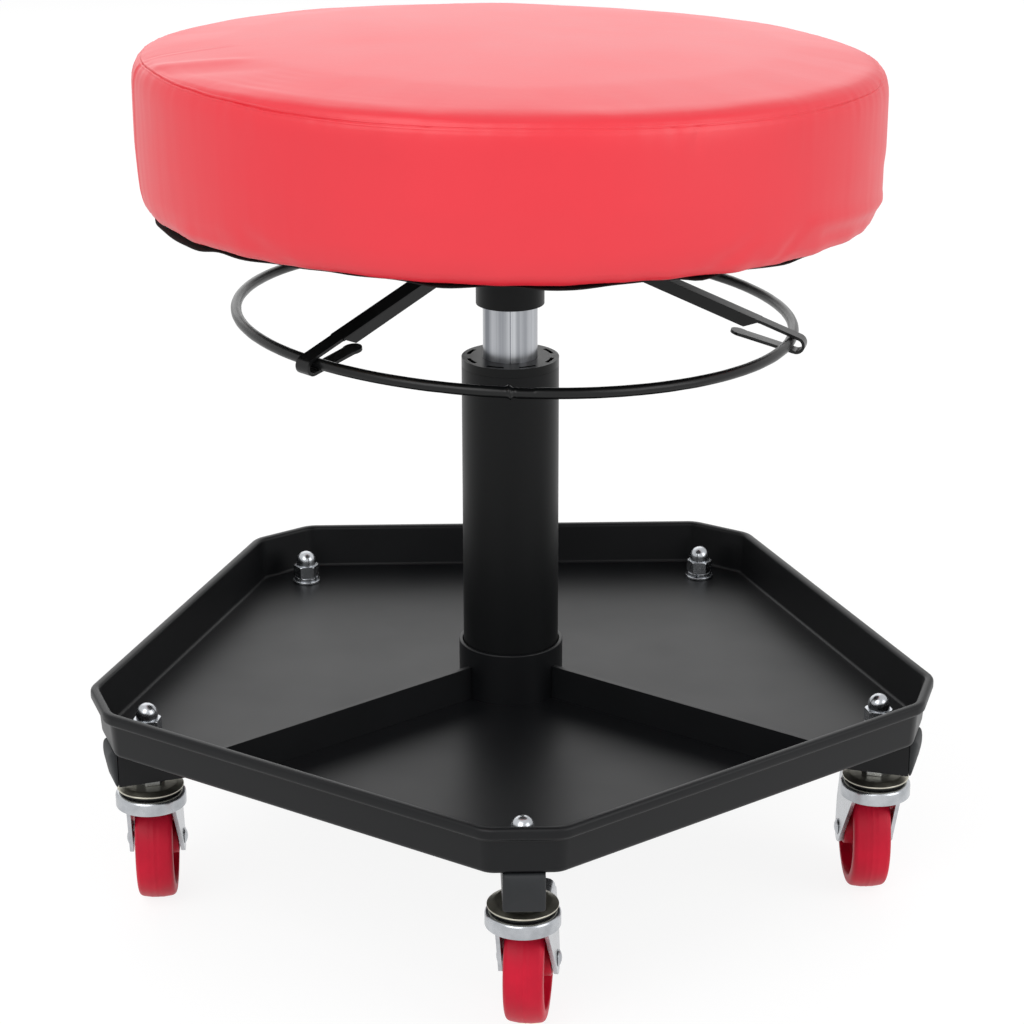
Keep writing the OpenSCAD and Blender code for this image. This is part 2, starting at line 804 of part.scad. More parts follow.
module socket_cup() {
    color([0.07, 0.07, 0.075])
    difference() {
        union() {
            translate([0, 0, cup_floor_z]) tube(2 * cup_r, socket_d, cup_sheet);
            translate([0, 0, cup_floor_z]) tube(2 * cup_r, 2 * (cup_r - cup_sheet), plate_z - cup_floor_z);
        }
        for (a = arm_azimuths) rotate([0, 0, a])
            translate([cup_r - 2 * cup_sheet, -window_w / 2, cup_floor_z + cup_sheet])
                cube([3 * cup_sheet, window_w, window_top_z - cup_floor_z - cup_sheet]);
    }
}

module rounded_plate(w, r, t) {
    reach = w / 2 - r;
    middles = [[reach, reach], [-reach, reach], [-reach, -reach], [reach, -reach]];
    linear_extrude(t) polygon([for (k = [0:3]) each arc(middles[k], r, 90 * k, 90 * k + 90)]);
}

module at_plate_holes() {
    for (x = [-1, 1], y = [-1, 1])
        translate([x * plate_hole_pitch / 2, y * plate_hole_pitch / 2, 0]) children();
}

module seat_plate() {
    color([0.07, 0.07, 0.075])
    translate([0, 0, plate_z])
    difference() {
        rounded_plate(seat_plate_w, seat_plate_round, seat_plate_t);
        at_plate_holes() translate([0, 0, -cut])
            cylinder(d = screw_d + 2 * loose, h = seat_plate_t + 2 * cut);
    }
}

module plate_screws() {
    color("silver")
    at_plate_holes() {
        translate([0, 0, plate_z]) cylinder(d = screw_d, h = screw_len - tee_flange_t);
        translate([0, 0, plate_z - screw_head_h])
        difference() {
            cylinder(d1 = screw_face_d, d2 = screw_head_d, h = screw_head_h);
            translate([0, 0, -cut]) hex_prism(screw_key_af, screw_key_depth + cut);
        }
    }
}

module tee_nuts() {
    color("silver")
    at_plate_holes() {
        translate([0, 0, board_z + board_t - tee_flange_t]) tube(tee_flange_d, screw_d, tee_flange_t);
        translate([0, 0, board_z + board_t - tee_flange_t - tee_barrel_l])
            tube(tee_nut_d, screw_d, tee_barrel_l);
    }
}

module seat_board() {
    color("burlywood")
    translate([0, 0, board_z])
    difference() {
        cylinder(d = board_d, h = board_t);
        at_plate_holes() {
            translate([0, 0, -cut]) cylinder(d = tee_nut_d, h = board_t + 2 * cut);
            translate([0, 0, board_t - tee_flange_t]) cylinder(d = tee_flange_d, h = tee_flange_t + cut);
        }
    }
}

module dust_cover() {
    color([0.05, 0.05, 0.05])
    translate([0, 0, cover_z])
    difference() {
        cylinder(d = cover_d, h = cover_t);
        at_plate_holes() translate([0, 0, -cut])
            cylinder(d = screw_d + 2 * loose, h = cover_t + 2 * cut);
    }
}

// Cushion: crowned top, sewn seam, side that swells and is drawn in under the board
module cushion() {
    r = seat_d / 2;
    seam_r = r * seam_radius_share;
    crown = [for (s = [0:crown_steps]) let (x = seam_r * s / crown_steps)
        [x, seam_z + crown_h * (1 - pow(x / seam_r, crown_power))]];
    side = [for (i = [len(side_height_shares) - 1:-1:0])
        [r * side_radius_shares[i], cushion_z + cushion_h * side_height_shares[i]]];
    color([0.93, 0.2, 0.24])
    rotate_extrude()
    polygon(concat(
        crown,
        [[seam_r - seam_groove, seam_z - seam_drop / 2], [seam_r + seam_groove / 2, seam_z - seam_drop]],
        side,
        [[lip_d / 2, cushion_z], [lip_d / 2, cushion_z + vinyl_lip],
         [board_d / 2 + near, cushion_z + vinyl_lip], [board_d / 2 + near, board_z + board_t + near],
         [0, board_z + board_t + near]]));
}

// Release ring, its arms and the disc that bears on the valve pin; all lean together

module hanging() {
    translate([ring_shift, 0, ring_z]) rotate([0, ring_lean, 0]) translate([0, 0, -ring_z])
        children();
}

module release_disc() {
    color([0.07, 0.07, 0.075])
    hanging() translate([0, 0, disc_z])
    difference() {
        cylinder(d = disc_d, h = disc_t);
        for (a = arm_azimuths) rotate([0, 0, a]) translate([rivet_circle_r, 0, -cut])
            cylinder(d = rivet_shank_d, h = disc_t + 2 * cut);
    }
}

// Top surface of an arm's web at a distance from the column axis
function web_top(x) = x < arm_level_r ? arm_top_z : hook_top[1] + (hook_top[0] - x) * tan(arm_slope);

// Arm: a web that slopes down to the wire, wraps round it and comes back as a narrow strip
module release_arm(k) {
    inward = [-cos(strip_slope), sin(strip_slope)];
    down = [-sin(strip_slope), -cos(strip_slope)];
    strip_low = hook_at + (hook_bend_r + arm_t) * down + strip_l * inward;
    web = concat(
        [[rivet_circle_r / 2, arm_top_z], [arm_level_r, arm_top_z]],
        arc(hook_at, hook_bend_r + arm_t, 90 - arm_slope, -90 - strip_slope, 14),
        [strip_low, strip_low - arm_t * down],
        arc(hook_at, hook_bend_r, -90 - strip_slope, 90 - arm_slope, 14),
        [[arm_level_r - arm_t * tan(arm_slope / 2), arm_top_z - arm_t],
         [rivet_circle_r / 2, arm_top_z - arm_t]]);
    flange_x = [arm_flange_r, arm_flange_end_r - arm_flange_cut, arm_flange_end_r];
    flange = [for (i = [0, 0, 1, 2])
        [flange_x[i], web_top(flange_x[i]) - arm_t / 2]];
    flange_drop = [0, arm_flange - arm_t / 2, arm_flange - arm_t / 2, 0];
    channel = [for (x = [flange_x[0], flange_x[2]]) [x, web_top(x)],
               for (x = [flange_x[2], flange_x[0]]) [x, web_top(x) - arm_t]];
    color([0.06, 0.06, 0.06])
    hanging() rotate([0, 0, arm_azimuths[k]])
    difference() {
        union() {
            rotate([90, 0, 0]) translate([0, 0, -tongue_w / 2]) linear_extrude(tongue_w) polygon(web);
            rotate([90, 0, 0]) translate([0, 0, -arm_w / 2]) linear_extrude(arm_w) polygon(channel);
            for (side = [-1, 1])
                translate([0, side * (arm_w / 2 - arm_t / 2), 0])
                rotate([90, 0, 0]) translate([0, 0, -arm_t / 2]) linear_extrude(arm_t)
                    polygon([for (i = [0:3]) flange[i] - [0, flange_drop[i]]]);
            translate([strip_low[0], 0, strip_low[1]]) rotate([0, strip_slope, 0])
                cylinder(d = strip_tip_d, h = arm_t);
        }
        translate([rivet_circle_r, 0, disc_z]) cylinder(d = rivet_shank_d, h = disc_t + arm_t + cut);
    }
}

module arm_rivets() {
    color("silver")
    hanging() for (a = arm_azimuths) rotate([0, 0, a]) translate([rivet_circle_r, 0, disc_z]) {
        cylinder(d = rivet_shank_d, h = disc_t + arm_t);
        translate([0, 0, disc_t + arm_t]) cylinder(d1 = rivet_cap_d, d2 = rivet_shank_d, h = rivet_cap_h);
    }
}

module release_ring() {
    color([0.06, 0.06, 0.06])
    hanging() translate([0, 0, ring_z]) {
        rotate_extrude() translate([ring_r, 0]) circle(d = ring_wire, $fn = 24);
        rotate([0, 0, -90]) translate([ring_r, -weld_nub_l / 2, 0]) rotate([-90, 0, 0])
            cylinder(d = weld_nub_d, h = weld_nub_l);
    }
}

hub_tube();
legs();
leg_caps();
tool_tray();
divider_left();
divider_right();
stand_tube();
guide_bush();
bearing_washer_lower();
ball_cage();
bearing_balls();
cap_nuts();
spring_washers();
flat_washers();
caster_stems();
caster_plates();
race_rings();
bearing_washer_upper();
piston_rod();
piston();
rod_clip();
rod_buffer();
gas_cylinder();
cylinder_seal();
valve_body();
valve_pin();
seat_socket();
socket_cup();
seat_plate();
plate_screws();
tee_nuts();
seat_board();
dust_cover();
cushion();
release_disc();
release_arm(0);  // release_arm_1
release_arm(1);  // release_arm_2
release_arm(2);  // release_arm_3
arm_rivets();
release_ring();
caster_fork(0);  // caster_fork_1
caster_fork(1);  // caster_fork_2
caster_fork(2);  // caster_fork_3
caster_fork(3);  // caster_fork_4
caster_fork(4);  // caster_fork_5
caster_axle(0);  // caster_axle_1
caster_axle(1);  // caster_axle_2
caster_axle(2);  // caster_axle_3
caster_axle(3);  // caster_axle_4
caster_axle(4);  // caster_axle_5
caster_wheel(0);  // caster_wheel_1
caster_wheel(1);  // caster_wheel_2
caster_wheel(2);  // caster_wheel_3
caster_wheel(3);  // caster_wheel_4
caster_wheel(4);  // caster_wheel_5
wheel_bush(0);  // wheel_bush_1
wheel_bush(1);  // wheel_bush_2
wheel_bush(2);  // wheel_bush_3
wheel_bush(3);  // wheel_bush_4
wheel_bush(4);  // wheel_bush_5
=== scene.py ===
"""Roller work stool: the finish of every surface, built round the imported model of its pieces.

Sizes are written in millimetres and turned to metres by MM where they reach a mesh. The frame has
+Z up, the floor at zero, the column on the Z axis and the tray's front corner towards -Y.
"""

import json
import logging
import math
from bisect import bisect
from dataclasses import dataclass, field
from enum import Enum

import bmesh
import bpy
from mathutils import Matrix, Vector, noise
from mathutils.bvhtree import BVHTree


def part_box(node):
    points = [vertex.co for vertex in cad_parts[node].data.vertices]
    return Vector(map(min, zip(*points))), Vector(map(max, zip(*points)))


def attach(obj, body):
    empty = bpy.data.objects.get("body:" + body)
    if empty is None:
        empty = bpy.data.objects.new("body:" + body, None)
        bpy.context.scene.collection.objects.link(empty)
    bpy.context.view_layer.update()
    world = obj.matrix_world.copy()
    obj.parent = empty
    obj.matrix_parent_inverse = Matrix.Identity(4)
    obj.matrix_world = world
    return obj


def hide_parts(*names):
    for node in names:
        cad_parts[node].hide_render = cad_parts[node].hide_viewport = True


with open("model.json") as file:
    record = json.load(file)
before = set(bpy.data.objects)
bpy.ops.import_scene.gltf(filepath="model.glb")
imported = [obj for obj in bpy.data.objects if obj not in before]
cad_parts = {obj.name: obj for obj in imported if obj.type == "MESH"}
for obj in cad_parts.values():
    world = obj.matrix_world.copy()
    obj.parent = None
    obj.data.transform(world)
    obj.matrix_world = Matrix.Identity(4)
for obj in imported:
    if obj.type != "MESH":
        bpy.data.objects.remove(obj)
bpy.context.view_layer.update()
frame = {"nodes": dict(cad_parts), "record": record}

LOG = logging.getLogger("stool")
MM = 0.001
TAU = 2 * math.pi
TINY = 1e-6
CORNERS = 5
FRONT = -90.0
# Distance in millimetres within which points of a skin are one
WELD = 0.001
# The values of a noise between which a finish goes from its shade to its colour
PLAY = (0.3, 0.7)
Point = tuple[float, float]
Corner = tuple[float, float, float]
Material = bpy.types.Material
Mesh = bpy.types.Mesh
Node = bpy.types.Node
Object = bpy.types.Object
Socket = bpy.types.NodeSocket
Tree = bpy.types.NodeTree


def srgb(code: str) -> tuple[float, float, float, float]:
    """Turns an sRGB hex colour to the linear colour that a shader takes.

    Args:
        code: The colour, such as "#ee3540".

    Returns:
        Red, green, blue and alpha.
    """
    parts = [int(code[i : i + 2], 16) / 255 for i in (1, 3, 5)]
    linear = [c / 12.92 if c <= 0.04045 else ((c + 0.055) / 1.055) ** 2.4 for c in parts]
    return (*linear, 1.0)


def per_mm(size: float) -> float:
    """Gives the texture scale at which one cell of a pattern measures size millimetres."""
    return 1 / (size * MM)


def add(tree: Tree, kind: str, inputs: dict | None = None, **settings: object) -> Node:
    """Adds one node to a tree with its settings, values and links.

    Args:
        tree: The node tree.
        kind: The node's type name.
        inputs: Values or output sockets for the node's inputs, by name or number.
        **settings: Attributes of the node.

    Returns:
        The new node.
    """
    node = tree.nodes.new(kind)
    for name, value in settings.items():
        setattr(node, name, value)
    for key, value in (inputs or {}).items():
        if isinstance(value, Socket):
            tree.links.new(value, node.inputs[key])
        else:
            node.inputs[key].default_value = value
    return node


@dataclass(frozen=True)
class Finish:
    """A plain moulded or painted surface with a grain. Subclasses add what their own shows.

    Attributes:
        shade: The colour that it plays towards.
        rough_play: How far the roughness moves either way.
        grain_depth: Depth of the grain in millimetres.
        patch_mm: Size of the patches in which colour and roughness play.
    """

    name: str
    colour: str
    shade: str
    roughness: float = 0.5
    rough_play: float = 0.08
    grain_mm: float = 1.0
    grain_depth: float = 0.02
    patch_mm: float = 40.0
    metallic: float = 0.0
    specular: float = 0.5

    def material(self) -> Material:
        """Builds the material once.

        Returns:
            The new material, or the same one as before.
        """
        found = bpy.data.materials.get(self.name)
        if found:
            return found
        made = bpy.data.materials.new(self.name)
        made.use_nodes = True
        tree = made.node_tree
        tree.nodes.clear()
        where = add(tree, "ShaderNodeTexCoord").outputs["Object"]
        level = {"Metallic": self.metallic, "Specular IOR Level": self.specular}
        shader = add(tree, "ShaderNodeBsdfPrincipled", level)
        normal = self.paint(tree, where, shader)
        tree.links.new(normal, shader.inputs["Normal"])
        add(tree, "ShaderNodeOutputMaterial", {"Surface": shader.outputs["BSDF"]})
        return made

    def paint(self, tree: Tree, where: Socket, shader: Node) -> Socket:
        """Gives the surface its colour, roughness and bump.

        Args:
            tree: The material's node tree.
            where: The coordinates that patterns read.
            shader: The Principled node.

        Returns:
            The bumped normal.
        """
        patches = {"Vector": where, "Scale": per_mm(self.patch_mm), "Detail": 3.0}
        patch = add(tree, "ShaderNodeTexNoise", patches).outputs["Fac"]
        self.play(tree, patch, patch, shader)
        grains = {"Vector": where, "Scale": per_mm(self.grain_mm), "Detail": 2.0}
        grain = add(tree, "ShaderNodeTexNoise", grains).outputs["Fac"]
        bump = {"Height": grain, "Distance": self.grain_depth * MM}
        return add(tree, "ShaderNodeBump", bump).outputs["Normal"]

    def play(self, tree: Tree, colour_by: Socket, rough_by: Socket, shader: Node) -> None:
        """Lets the colour and the roughness play between their limits.

        Args:
            tree: The material's node tree.
            colour_by: What mixes the shade with the colour.
            rough_by: What moves the roughness about its mean.
            shader: The Principled node.
        """
        ramp = add(tree, "ShaderNodeValToRGB", {"Fac": colour_by})
        for element, code, value in zip(ramp.color_ramp.elements, (self.shade, self.colour), PLAY):
            element.color = srgb(code)
            element.position = value
        tree.links.new(ramp.outputs["Color"], shader.inputs["Base Color"])
        low, high = self.roughness - self.rough_play, self.roughness + self.rough_play
        ranged = add(tree, "ShaderNodeMapRange", {"Value": rough_by, "To Min": low, "To Max": high})
        tree.links.new(ranged.outputs["Result"], shader.inputs["Roughness"])


@dataclass(frozen=True)
class DrawnSteel(Finish):
    """Steel drawn and ground along Z: fine lines run the length of the tube.

    Attributes:
        band_lines: How many lines wide a band of the colour is.
        seam_at: Angle in degrees of a closed weld seam, a dark upright line, or none.
        seam_turn: Half its width in degrees.
    """

    line_mm: float = 0.5
    line_length_mm: float = 90.0
    band_lines: float = 8.0
    seam_at: float | None = None
    seam_turn: float = 0.9

    def paint(self, tree: Tree, where: Socket, shader: Node) -> Socket:
        """Streaks the colour, roughness and bump along Z.

        Args:
            tree: The material's node tree.
            where: The coordinates, with the tube's axis on Z.
            shader: The Principled node.

        Returns:
            The bumped normal.
        """
        stretch = (1.0, 1.0, self.line_mm / self.line_length_mm)
        drawn = add(tree, "ShaderNodeMapping", {"Vector": where, "Scale": stretch})
        streaks = []
        for size, detail in ((self.line_mm, 4.0), (self.line_mm * self.band_lines, 2.0)):
            inputs = {"Vector": drawn.outputs["Vector"], "Scale": per_mm(size), "Detail": detail}
            streaks.append(add(tree, "ShaderNodeTexNoise", inputs).outputs["Fac"])
        lines, bands = streaks
        if self.seam_at is not None:
            bands = self.seamed(tree, where, bands)
        self.play(tree, bands, lines, shader)
        bump = {"Height": lines, "Distance": self.grain_depth * MM}
        return add(tree, "ShaderNodeBump", bump).outputs["Normal"]

    def seamed(self, tree: Tree, where: Socket, bands: Socket) -> Socket:
        """Draws the seam into the play of the colour.

        Args:
            tree: The material's node tree.
            where: The coordinates, with the tube's axis on Z.
            bands: The colour play that the seam is cut into.

        Returns:
            The play, far below its range along the seam.
        """
        place = add(tree, "ShaderNodeSeparateXYZ", {"Vector": where}).outputs
        ends = {0: place["Y"], 1: place["X"]}
        angle = add(tree, "ShaderNodeMath", ends, operation="ARCTAN2").outputs[0]
        off = {0: angle, 1: math.radians(self.seam_at), 2: math.radians(self.seam_turn)}
        on_seam = add(tree, "ShaderNodeMath", off, operation="COMPARE").outputs[0]
        cut = {0: bands, 1: on_seam}
        return add(tree, "ShaderNodeMath", cut, operation="SUBTRACT").outputs[0]


@dataclass(frozen=True)
class Vinyl(Finish):
    """Sheet vinyl over foam: an embossed leather grain, pulled into faint upright creases.

    Attributes:
        crease_depth: Its depth in millimetres.
        crease_pull: Its width as a share of its length.
    """

    crease_mm: float = 5.0
    crease_depth: float = 0.05
    crease_pull: float = 0.12

    def paint(self, tree: Tree, where: Socket, shader: Node) -> Socket:
        """Adds the grain's cells and the pull creases to the colour play.

        Args:
            tree: The material's node tree.
            where: The coordinates, with the seat's axis on Z.
            shader: The Principled node.

        Returns:
            The bumped normal.
        """
        patches = {"Vector": where, "Scale": per_mm(self.patch_mm), "Detail": 3.0}
        patch = add(tree, "ShaderNodeTexNoise", patches).outputs["Fac"]
        self.play(tree, patch, patch, shader)
        cells = {"Vector": where, "Scale": per_mm(self.grain_mm)}
        grain = add(tree, "ShaderNodeTexVoronoi", cells, feature="DISTANCE_TO_EDGE")
        pull = {"Vector": where, "Scale": (1.0, 1.0, self.crease_pull)}
        upright = add(tree, "ShaderNodeMapping", pull).outputs["Vector"]
        creases = {"Vector": upright, "Scale": per_mm(self.crease_mm), "Detail": 4.0}
        crease = add(tree, "ShaderNodeTexNoise", creases).outputs["Fac"]
        first = {"Height": crease, "Distance": self.crease_depth * MM}
        creased = add(tree, "ShaderNodeBump", first).outputs["Normal"]
        second = {"Height": grain.outputs["Distance"], "Distance": self.grain_depth * MM}
        return add(tree, "ShaderNodeBump", second | {"Normal": creased}).outputs["Normal"]


# Polyester powder coat on steel: black, satin, with a faint orange peel
POWDER = Finish(
    "satin_black_powder_coat", "#0f1012", "#0c0d0f", 0.4, 0.05, 1.4, 0.012, specular=0.23)
# The same coat on the column tube, sprayed smoother
POWDER_TUBE = Finish(
    "smooth_black_powder_coat", "#101112", "#0d0e0f", 0.4, 0.04, 2.0, 0.01, specular=0.17)
# Dipped black enamel on the ring wire and arms: glossier, with runs that catch the light
ENAMEL = Finish("gloss_black_wire_enamel", "#0e0f10", "#0a0b0b", 0.3, 0.06, 3.0, 0.02, specular=0.3)
# Moulded polypropylene of the leg caps: dark grey, finely grained
CAP_PLASTIC = Finish(
    "dark_grey_moulded_polypropylene", "#2a2c2e", "#232527", 0.55, 0.05, 0.5, 0.02, specular=0.3)
# Moulded acetal of the bush and the race seals: black, slightly waxy
BUSH_PLASTIC = Finish(
    "black_moulded_acetal", "#0d0e0f", "#0a0b0b", 0.34, 0.05, 0.7, 0.01, specular=0.17)
# Bright zinc plate on pressings and fasteners: blue white with a faint straw tint in places
ZINC = Finish("bright_zinc_plate", "#c1c4c8", "#a5a8ac", 0.26, 0.08, 0.8, 0.004, 9.0, 1.0)
# The same plate on the caster tops, passivated: smoother, with a straw tint
PLATE_ZINC = Finish(
    "straw_tinted_zinc_plate", "#c9c6b8", "#b4b1a4", 0.36, 0.06, 0.8, 0.006, 7.0, 1.0)
# Drawn and welded steel tube of the gas cylinder: bright, with fine lines along it and the
# dark line of its seam at the front
CYLINDER = DrawnSteel(
    "drawn_cylinder_steel", "#c4c6ca", "#777a80", 0.3, 0.07, 1.0, 0.0025, 20.0, 1.0, seam_at=-91.5)
# Ground steel of the rod, the washers and the balls: bright, with fine lines along Z
STEEL = DrawnSteel("ground_steel", "#c3c6ca", "#8f9296", 0.26, 0.08, 1.0, 0.004, 20.0, 1.0)
# Turned brass of the valve and the bearing cage: yellow, with a soft shine
BRASS = Finish("turned_brass", "#c9a24f", "#b08a3c", 0.3, 0.06, 0.5, 0.004, 10.0, 1.0)
# Nitrile rubber of the buffer: black and matt
RUBBER = Finish("black_nitrile_rubber", "#161616", "#101010", 0.7, 0.05, 0.4, 0.02)
# Cast polyurethane tyre: deep red, satin, a little darker where the mould was cooler
WHEEL_RED = Finish(
    "red_cast_polyurethane", "#d01132", "#bc0e2d", 0.46, 0.06, 1.5, 0.02, 18.0, specular=0.24)
# Sheet vinyl of the cover: bright red, with a low sheen
VINYL_RED = Vinyl(
    "red_grained_sheet_vinyl", "#e62233", "#e22031", 0.42, 0.04, 0.9, 0.012, 60.0, specular=0.7)
# Spun-bonded cloth under the seat: black and dull
DUST_CLOTH = Finish("black_spun_bonded_cloth", "#121212", "#0a0a0a", 0.9, 0.05, 0.8, 0.08)
# Birch plywood of the seat board: pale, sanded
PLYWOOD = Finish("birch_plywood", "#c9a57a", "#b48c5e", 0.65, 0.05, 1.5, 0.03, 12.0)

# The nodes that are dressed as packed, by finish; a family of nodes is named by its first words
DRESSED = {
    POWDER: ("hub_tube", "legs", "divider", "socket_cup", "seat_plate"),
    POWDER_TUBE: ("stand_tube", "seat_socket"),
    ENAMEL: ("release_disc", "release_arm"),
    BUSH_PLASTIC: ("guide_bush", "cylinder_seal"),
    ZINC: ("cap_nuts", "spring_washers", "caster_stems", "caster_fork", "caster_axle", "rod_clip",
           "plate_screws", "tee_nuts", "arm_rivets"),
    CYLINDER: ("gas_cylinder",),
    STEEL: ("bearing_washer", "piston_rod", "piston", "valve_pin", "wheel_bush"),
    BRASS: ("ball_cage", "valve_body"),
    RUBBER: ("rod_buffer",),
    PLYWOOD: ("seat_board",),
}
NODE_FINISHES = {node: finish for finish, nodes in DRESSED.items() for node in nodes}
# Widths of the broken edges, where they aren't BROKEN_EDGE; from BROAD_EDGE they are rounder
BROKEN_EDGE, BROAD_EDGE = 0.25, 0.5
BEVELS = {
    "legs": 0.9, "hub_tube": 0.8, "guide_bush": 0.5, "release_disc": 0.6, "divider": 0.4,
    "release_arm": 0.45, "seat_board": 1.5, "caster_fork": 0.4, "rod_buffer": 1.0,
}
# Nodes whose walls about the column have openings, which leave their facets uneven
CUT_ROUND_WALLS = {"socket_cup"}
# How much of a side an arc may take, towards a sharp corner and towards a rounded one
WHOLE_SIDE, HALF_SIDE = 0.98, 0.49


def for_node(table: dict[str, object], node: str, other: object = None) -> object:
    """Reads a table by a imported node.

    Args:
        table: Values by node, or by the words before the last of a family's names.
        node: The node's name.
        other: The value where the table has neither.

    Returns:
        The node's value.
    """
    return table.get(node, table.get(node.rsplit("_", 1)[0], other))


def node_body(node: str) -> str:
    """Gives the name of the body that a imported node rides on."""
    bodies = frame["record"]["behaviour"]["bodies"]
    return next(body for body, nodes in bodies.items() if node in nodes)


def joint(name: str) -> dict:
    """Gives the record of a joint."""
    return next(j for j in frame["record"]["behaviour"]["joints"] if j["name"] == name)


def caster_circle() -> float:
    """Gives the radius of the circle that the casters stand on, in millimetres."""
    return Vector(joint("swivel_1")["pos_m"]).xy.length / MM


def heights(node: str) -> Point:
    """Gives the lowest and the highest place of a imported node, in millimetres."""
    low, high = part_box(node)
    return low.z / MM, high.z / MM


def sharpen(mesh: Mesh, degrees: float = 35.0) -> None:
    """Shades a mesh smooth apart from edges that turn more than an angle."""
    mesh.shade_smooth()
    mesh.set_sharp_from_angle(angle=math.radians(degrees))


def straighten_walls(mesh: Mesh, degrees: float = 12.0) -> None:
    """Points the normals of upright round walls straight away from the column's axis.

    Args:
        mesh: The mesh, with the axis through its origin.
        degrees: How far off that direction a face may look and still count as such a wall.
    """
    least = math.cos(math.radians(degrees))
    normals = [corner.vector.copy() for corner in mesh.corner_normals]
    for face in mesh.polygons:
        for corner in face.loop_indices:
            place = mesh.vertices[mesh.loops[corner].vertex_index].co
            out = Vector((place.x, place.y, 0.0)).normalized()
            if abs(face.normal.dot(out)) > least:
                normals[corner] = out if face.normal.dot(out) > 0 else -out
    mesh.normals_split_custom_set(normals)


def finished(piece: Object, finish: Finish, node: str) -> None:
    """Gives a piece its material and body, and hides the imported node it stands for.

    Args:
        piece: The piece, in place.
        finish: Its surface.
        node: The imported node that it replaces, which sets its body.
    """
    piece.data.materials.clear()
    piece.data.materials.append(finish.material())
    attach(piece, node_body(node))
    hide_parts(node)
    LOG.info("%s: %d faces for %s", piece.name, len(piece.data.polygons), node)


def baked(piece: Object) -> None:
    """Applies a piece's modifiers to its mesh.

    Args:
        piece: The piece with its modifiers, which has a plain mesh afterwards.
    """
    graph = bpy.context.evaluated_depsgraph_get()
    mesh = bpy.data.meshes.new_from_object(piece.evaluated_get(graph), depsgraph=graph)
    piece.modifiers.clear()
    old, piece.data = piece.data, mesh
    bpy.data.meshes.remove(old)


def object_of(name: str, data: bpy.types.ID) -> Object:
    """Links a new object into the scene.

    Args:
        name: Its name.
        data: Its mesh, camera or lamp.

    Returns:
        The object.
    """
    made = bpy.data.objects.new(name, data)
    bpy.context.scene.collection.objects.link(made)
    return made


def rounded(corners: list[Corner], steps: int = 5) -> list[Point]:
    """Rounds the corners of an outline.

    Args:
        corners: Each corner's two coordinates and its radius, or zero to keep it sharp.
        steps: Segments of each arc.

    Returns:
        The outline's points, with an arc at each rounded corner.
    """
    points: list[Point] = []
    for i, (x, y, radius) in enumerate(corners):
        last, following = corners[i - 1], corners[(i + 1) % len(corners)]
        here = Vector((x, y))
        before, after = Vector(last[:2]) - here, Vector(following[:2]) - here
        if not radius or before.length < TINY or after.length < TINY:
            points.append((x, y))
            continue
        sides = ((before, last), (after, following))
        room = min(s.length * (HALF_SIDE if end[2] else WHOLE_SIDE) for s, end in sides)
        reach = min(radius / math.tan(before.angle(after) / 2), room)
        first = here + before.normalized() * reach
        last = here + after.normalized() * reach
        for t in (s / steps for s in range(steps + 1)):
            point = first * (1 - t) ** 2 + here * 2 * t * (1 - t) + last * t**2
            points.append((point.x, point.y))
    return points


def skinned(name: str, rings: list[list[Vector]], looped: bool) -> Object:
    """Joins rings of points, each closed on itself, with quads.

    Args:
        name: The object's name.
        rings: Rings with the same number of points, in millimetres.
        looped: Whether the last ring joins the first. If not, both ends close on a middle point.

    Returns:
        The closed surface, facing outwards.
    """
    count = len(rings[0])
    turns = [(j, (j + 1) % count) for j in range(count)]
    points = [p for ring in rings for p in ring]
    faces = []
    for i in range(len(rings) if looped else len(rings) - 1):
        low, high = i * count, (i + 1) % len(rings) * count
        faces += [(low + j, low + k, high + k, high + j) for j, k in turns]
    if not looped:
        for ring, way in ((0, 1), (len(rings) - 1, -1)):
            points.append(sum(rings[ring], Vector()) / count)
            start = ring * count
            faces += [(start + k, start + j, len(points) - 1)[::way] for j, k in turns]
    mesh = bpy.data.meshes.new(name)
    mesh.from_pydata([p * MM for p in points], [], faces)
    shape = bmesh.new()
    shape.from_mesh(mesh)
    bmesh.ops.remove_doubles(shape, verts=shape.verts, dist=WELD * MM)
    bmesh.ops.recalc_face_normals(shape, faces=shape.faces)
    shape.to_mesh(mesh)
    shape.free()
    return object_of(name, mesh)


def polar(radius: float, angle: float, height: float) -> Vector:
    """Gives the point at a radius, an angle in radians and a height."""
    return Vector((radius * math.cos(angle), radius * math.sin(angle), height))


def turned(name: str, outline: list[Point], segments: int = 96) -> Object:
    """Revolves a closed outline of radius and height round the Z axis."""
    rings = [[polar(r, TAU * j / segments, z) for j in range(segments)] for r, z in outline]
    return skinned(name, rings, looped=True)


def smooth_step(value: float, start: float, end: float) -> float:
    """Rises from 0 at start to 1 at end with soft ends."""
    share = min(max((value - start) / (end - start), 0.0), 1.0)
    return share * share * (3 - 2 * share)


def bell(distance: float, width: float) -> float:
    """Falls from 1 at no distance to almost nothing past twice the width."""
    return math.exp(-((distance / width) ** 2))


def interpolated(table: tuple[Point, ...], angle: float) -> float:
    """Reads a table softly between its rows.

    Args:
        table: Angles in degrees, rising, each with a value.
        angle: The angle to read it at.

    Returns:
        The value there.
    """
    for (a0, v0), (a1, v1) in zip(table, table[1:]):
        if a0 <= angle <= a1:
            return v0 + (v1 - v0) * smooth_step(angle, a0, a1)
    return table[0][1]


def angle_between(first: float, second: float) -> float:
    """Gives the signed turn in degrees from second to first, between -180 and 180."""
    return (first - second + 180) % 360 - 180


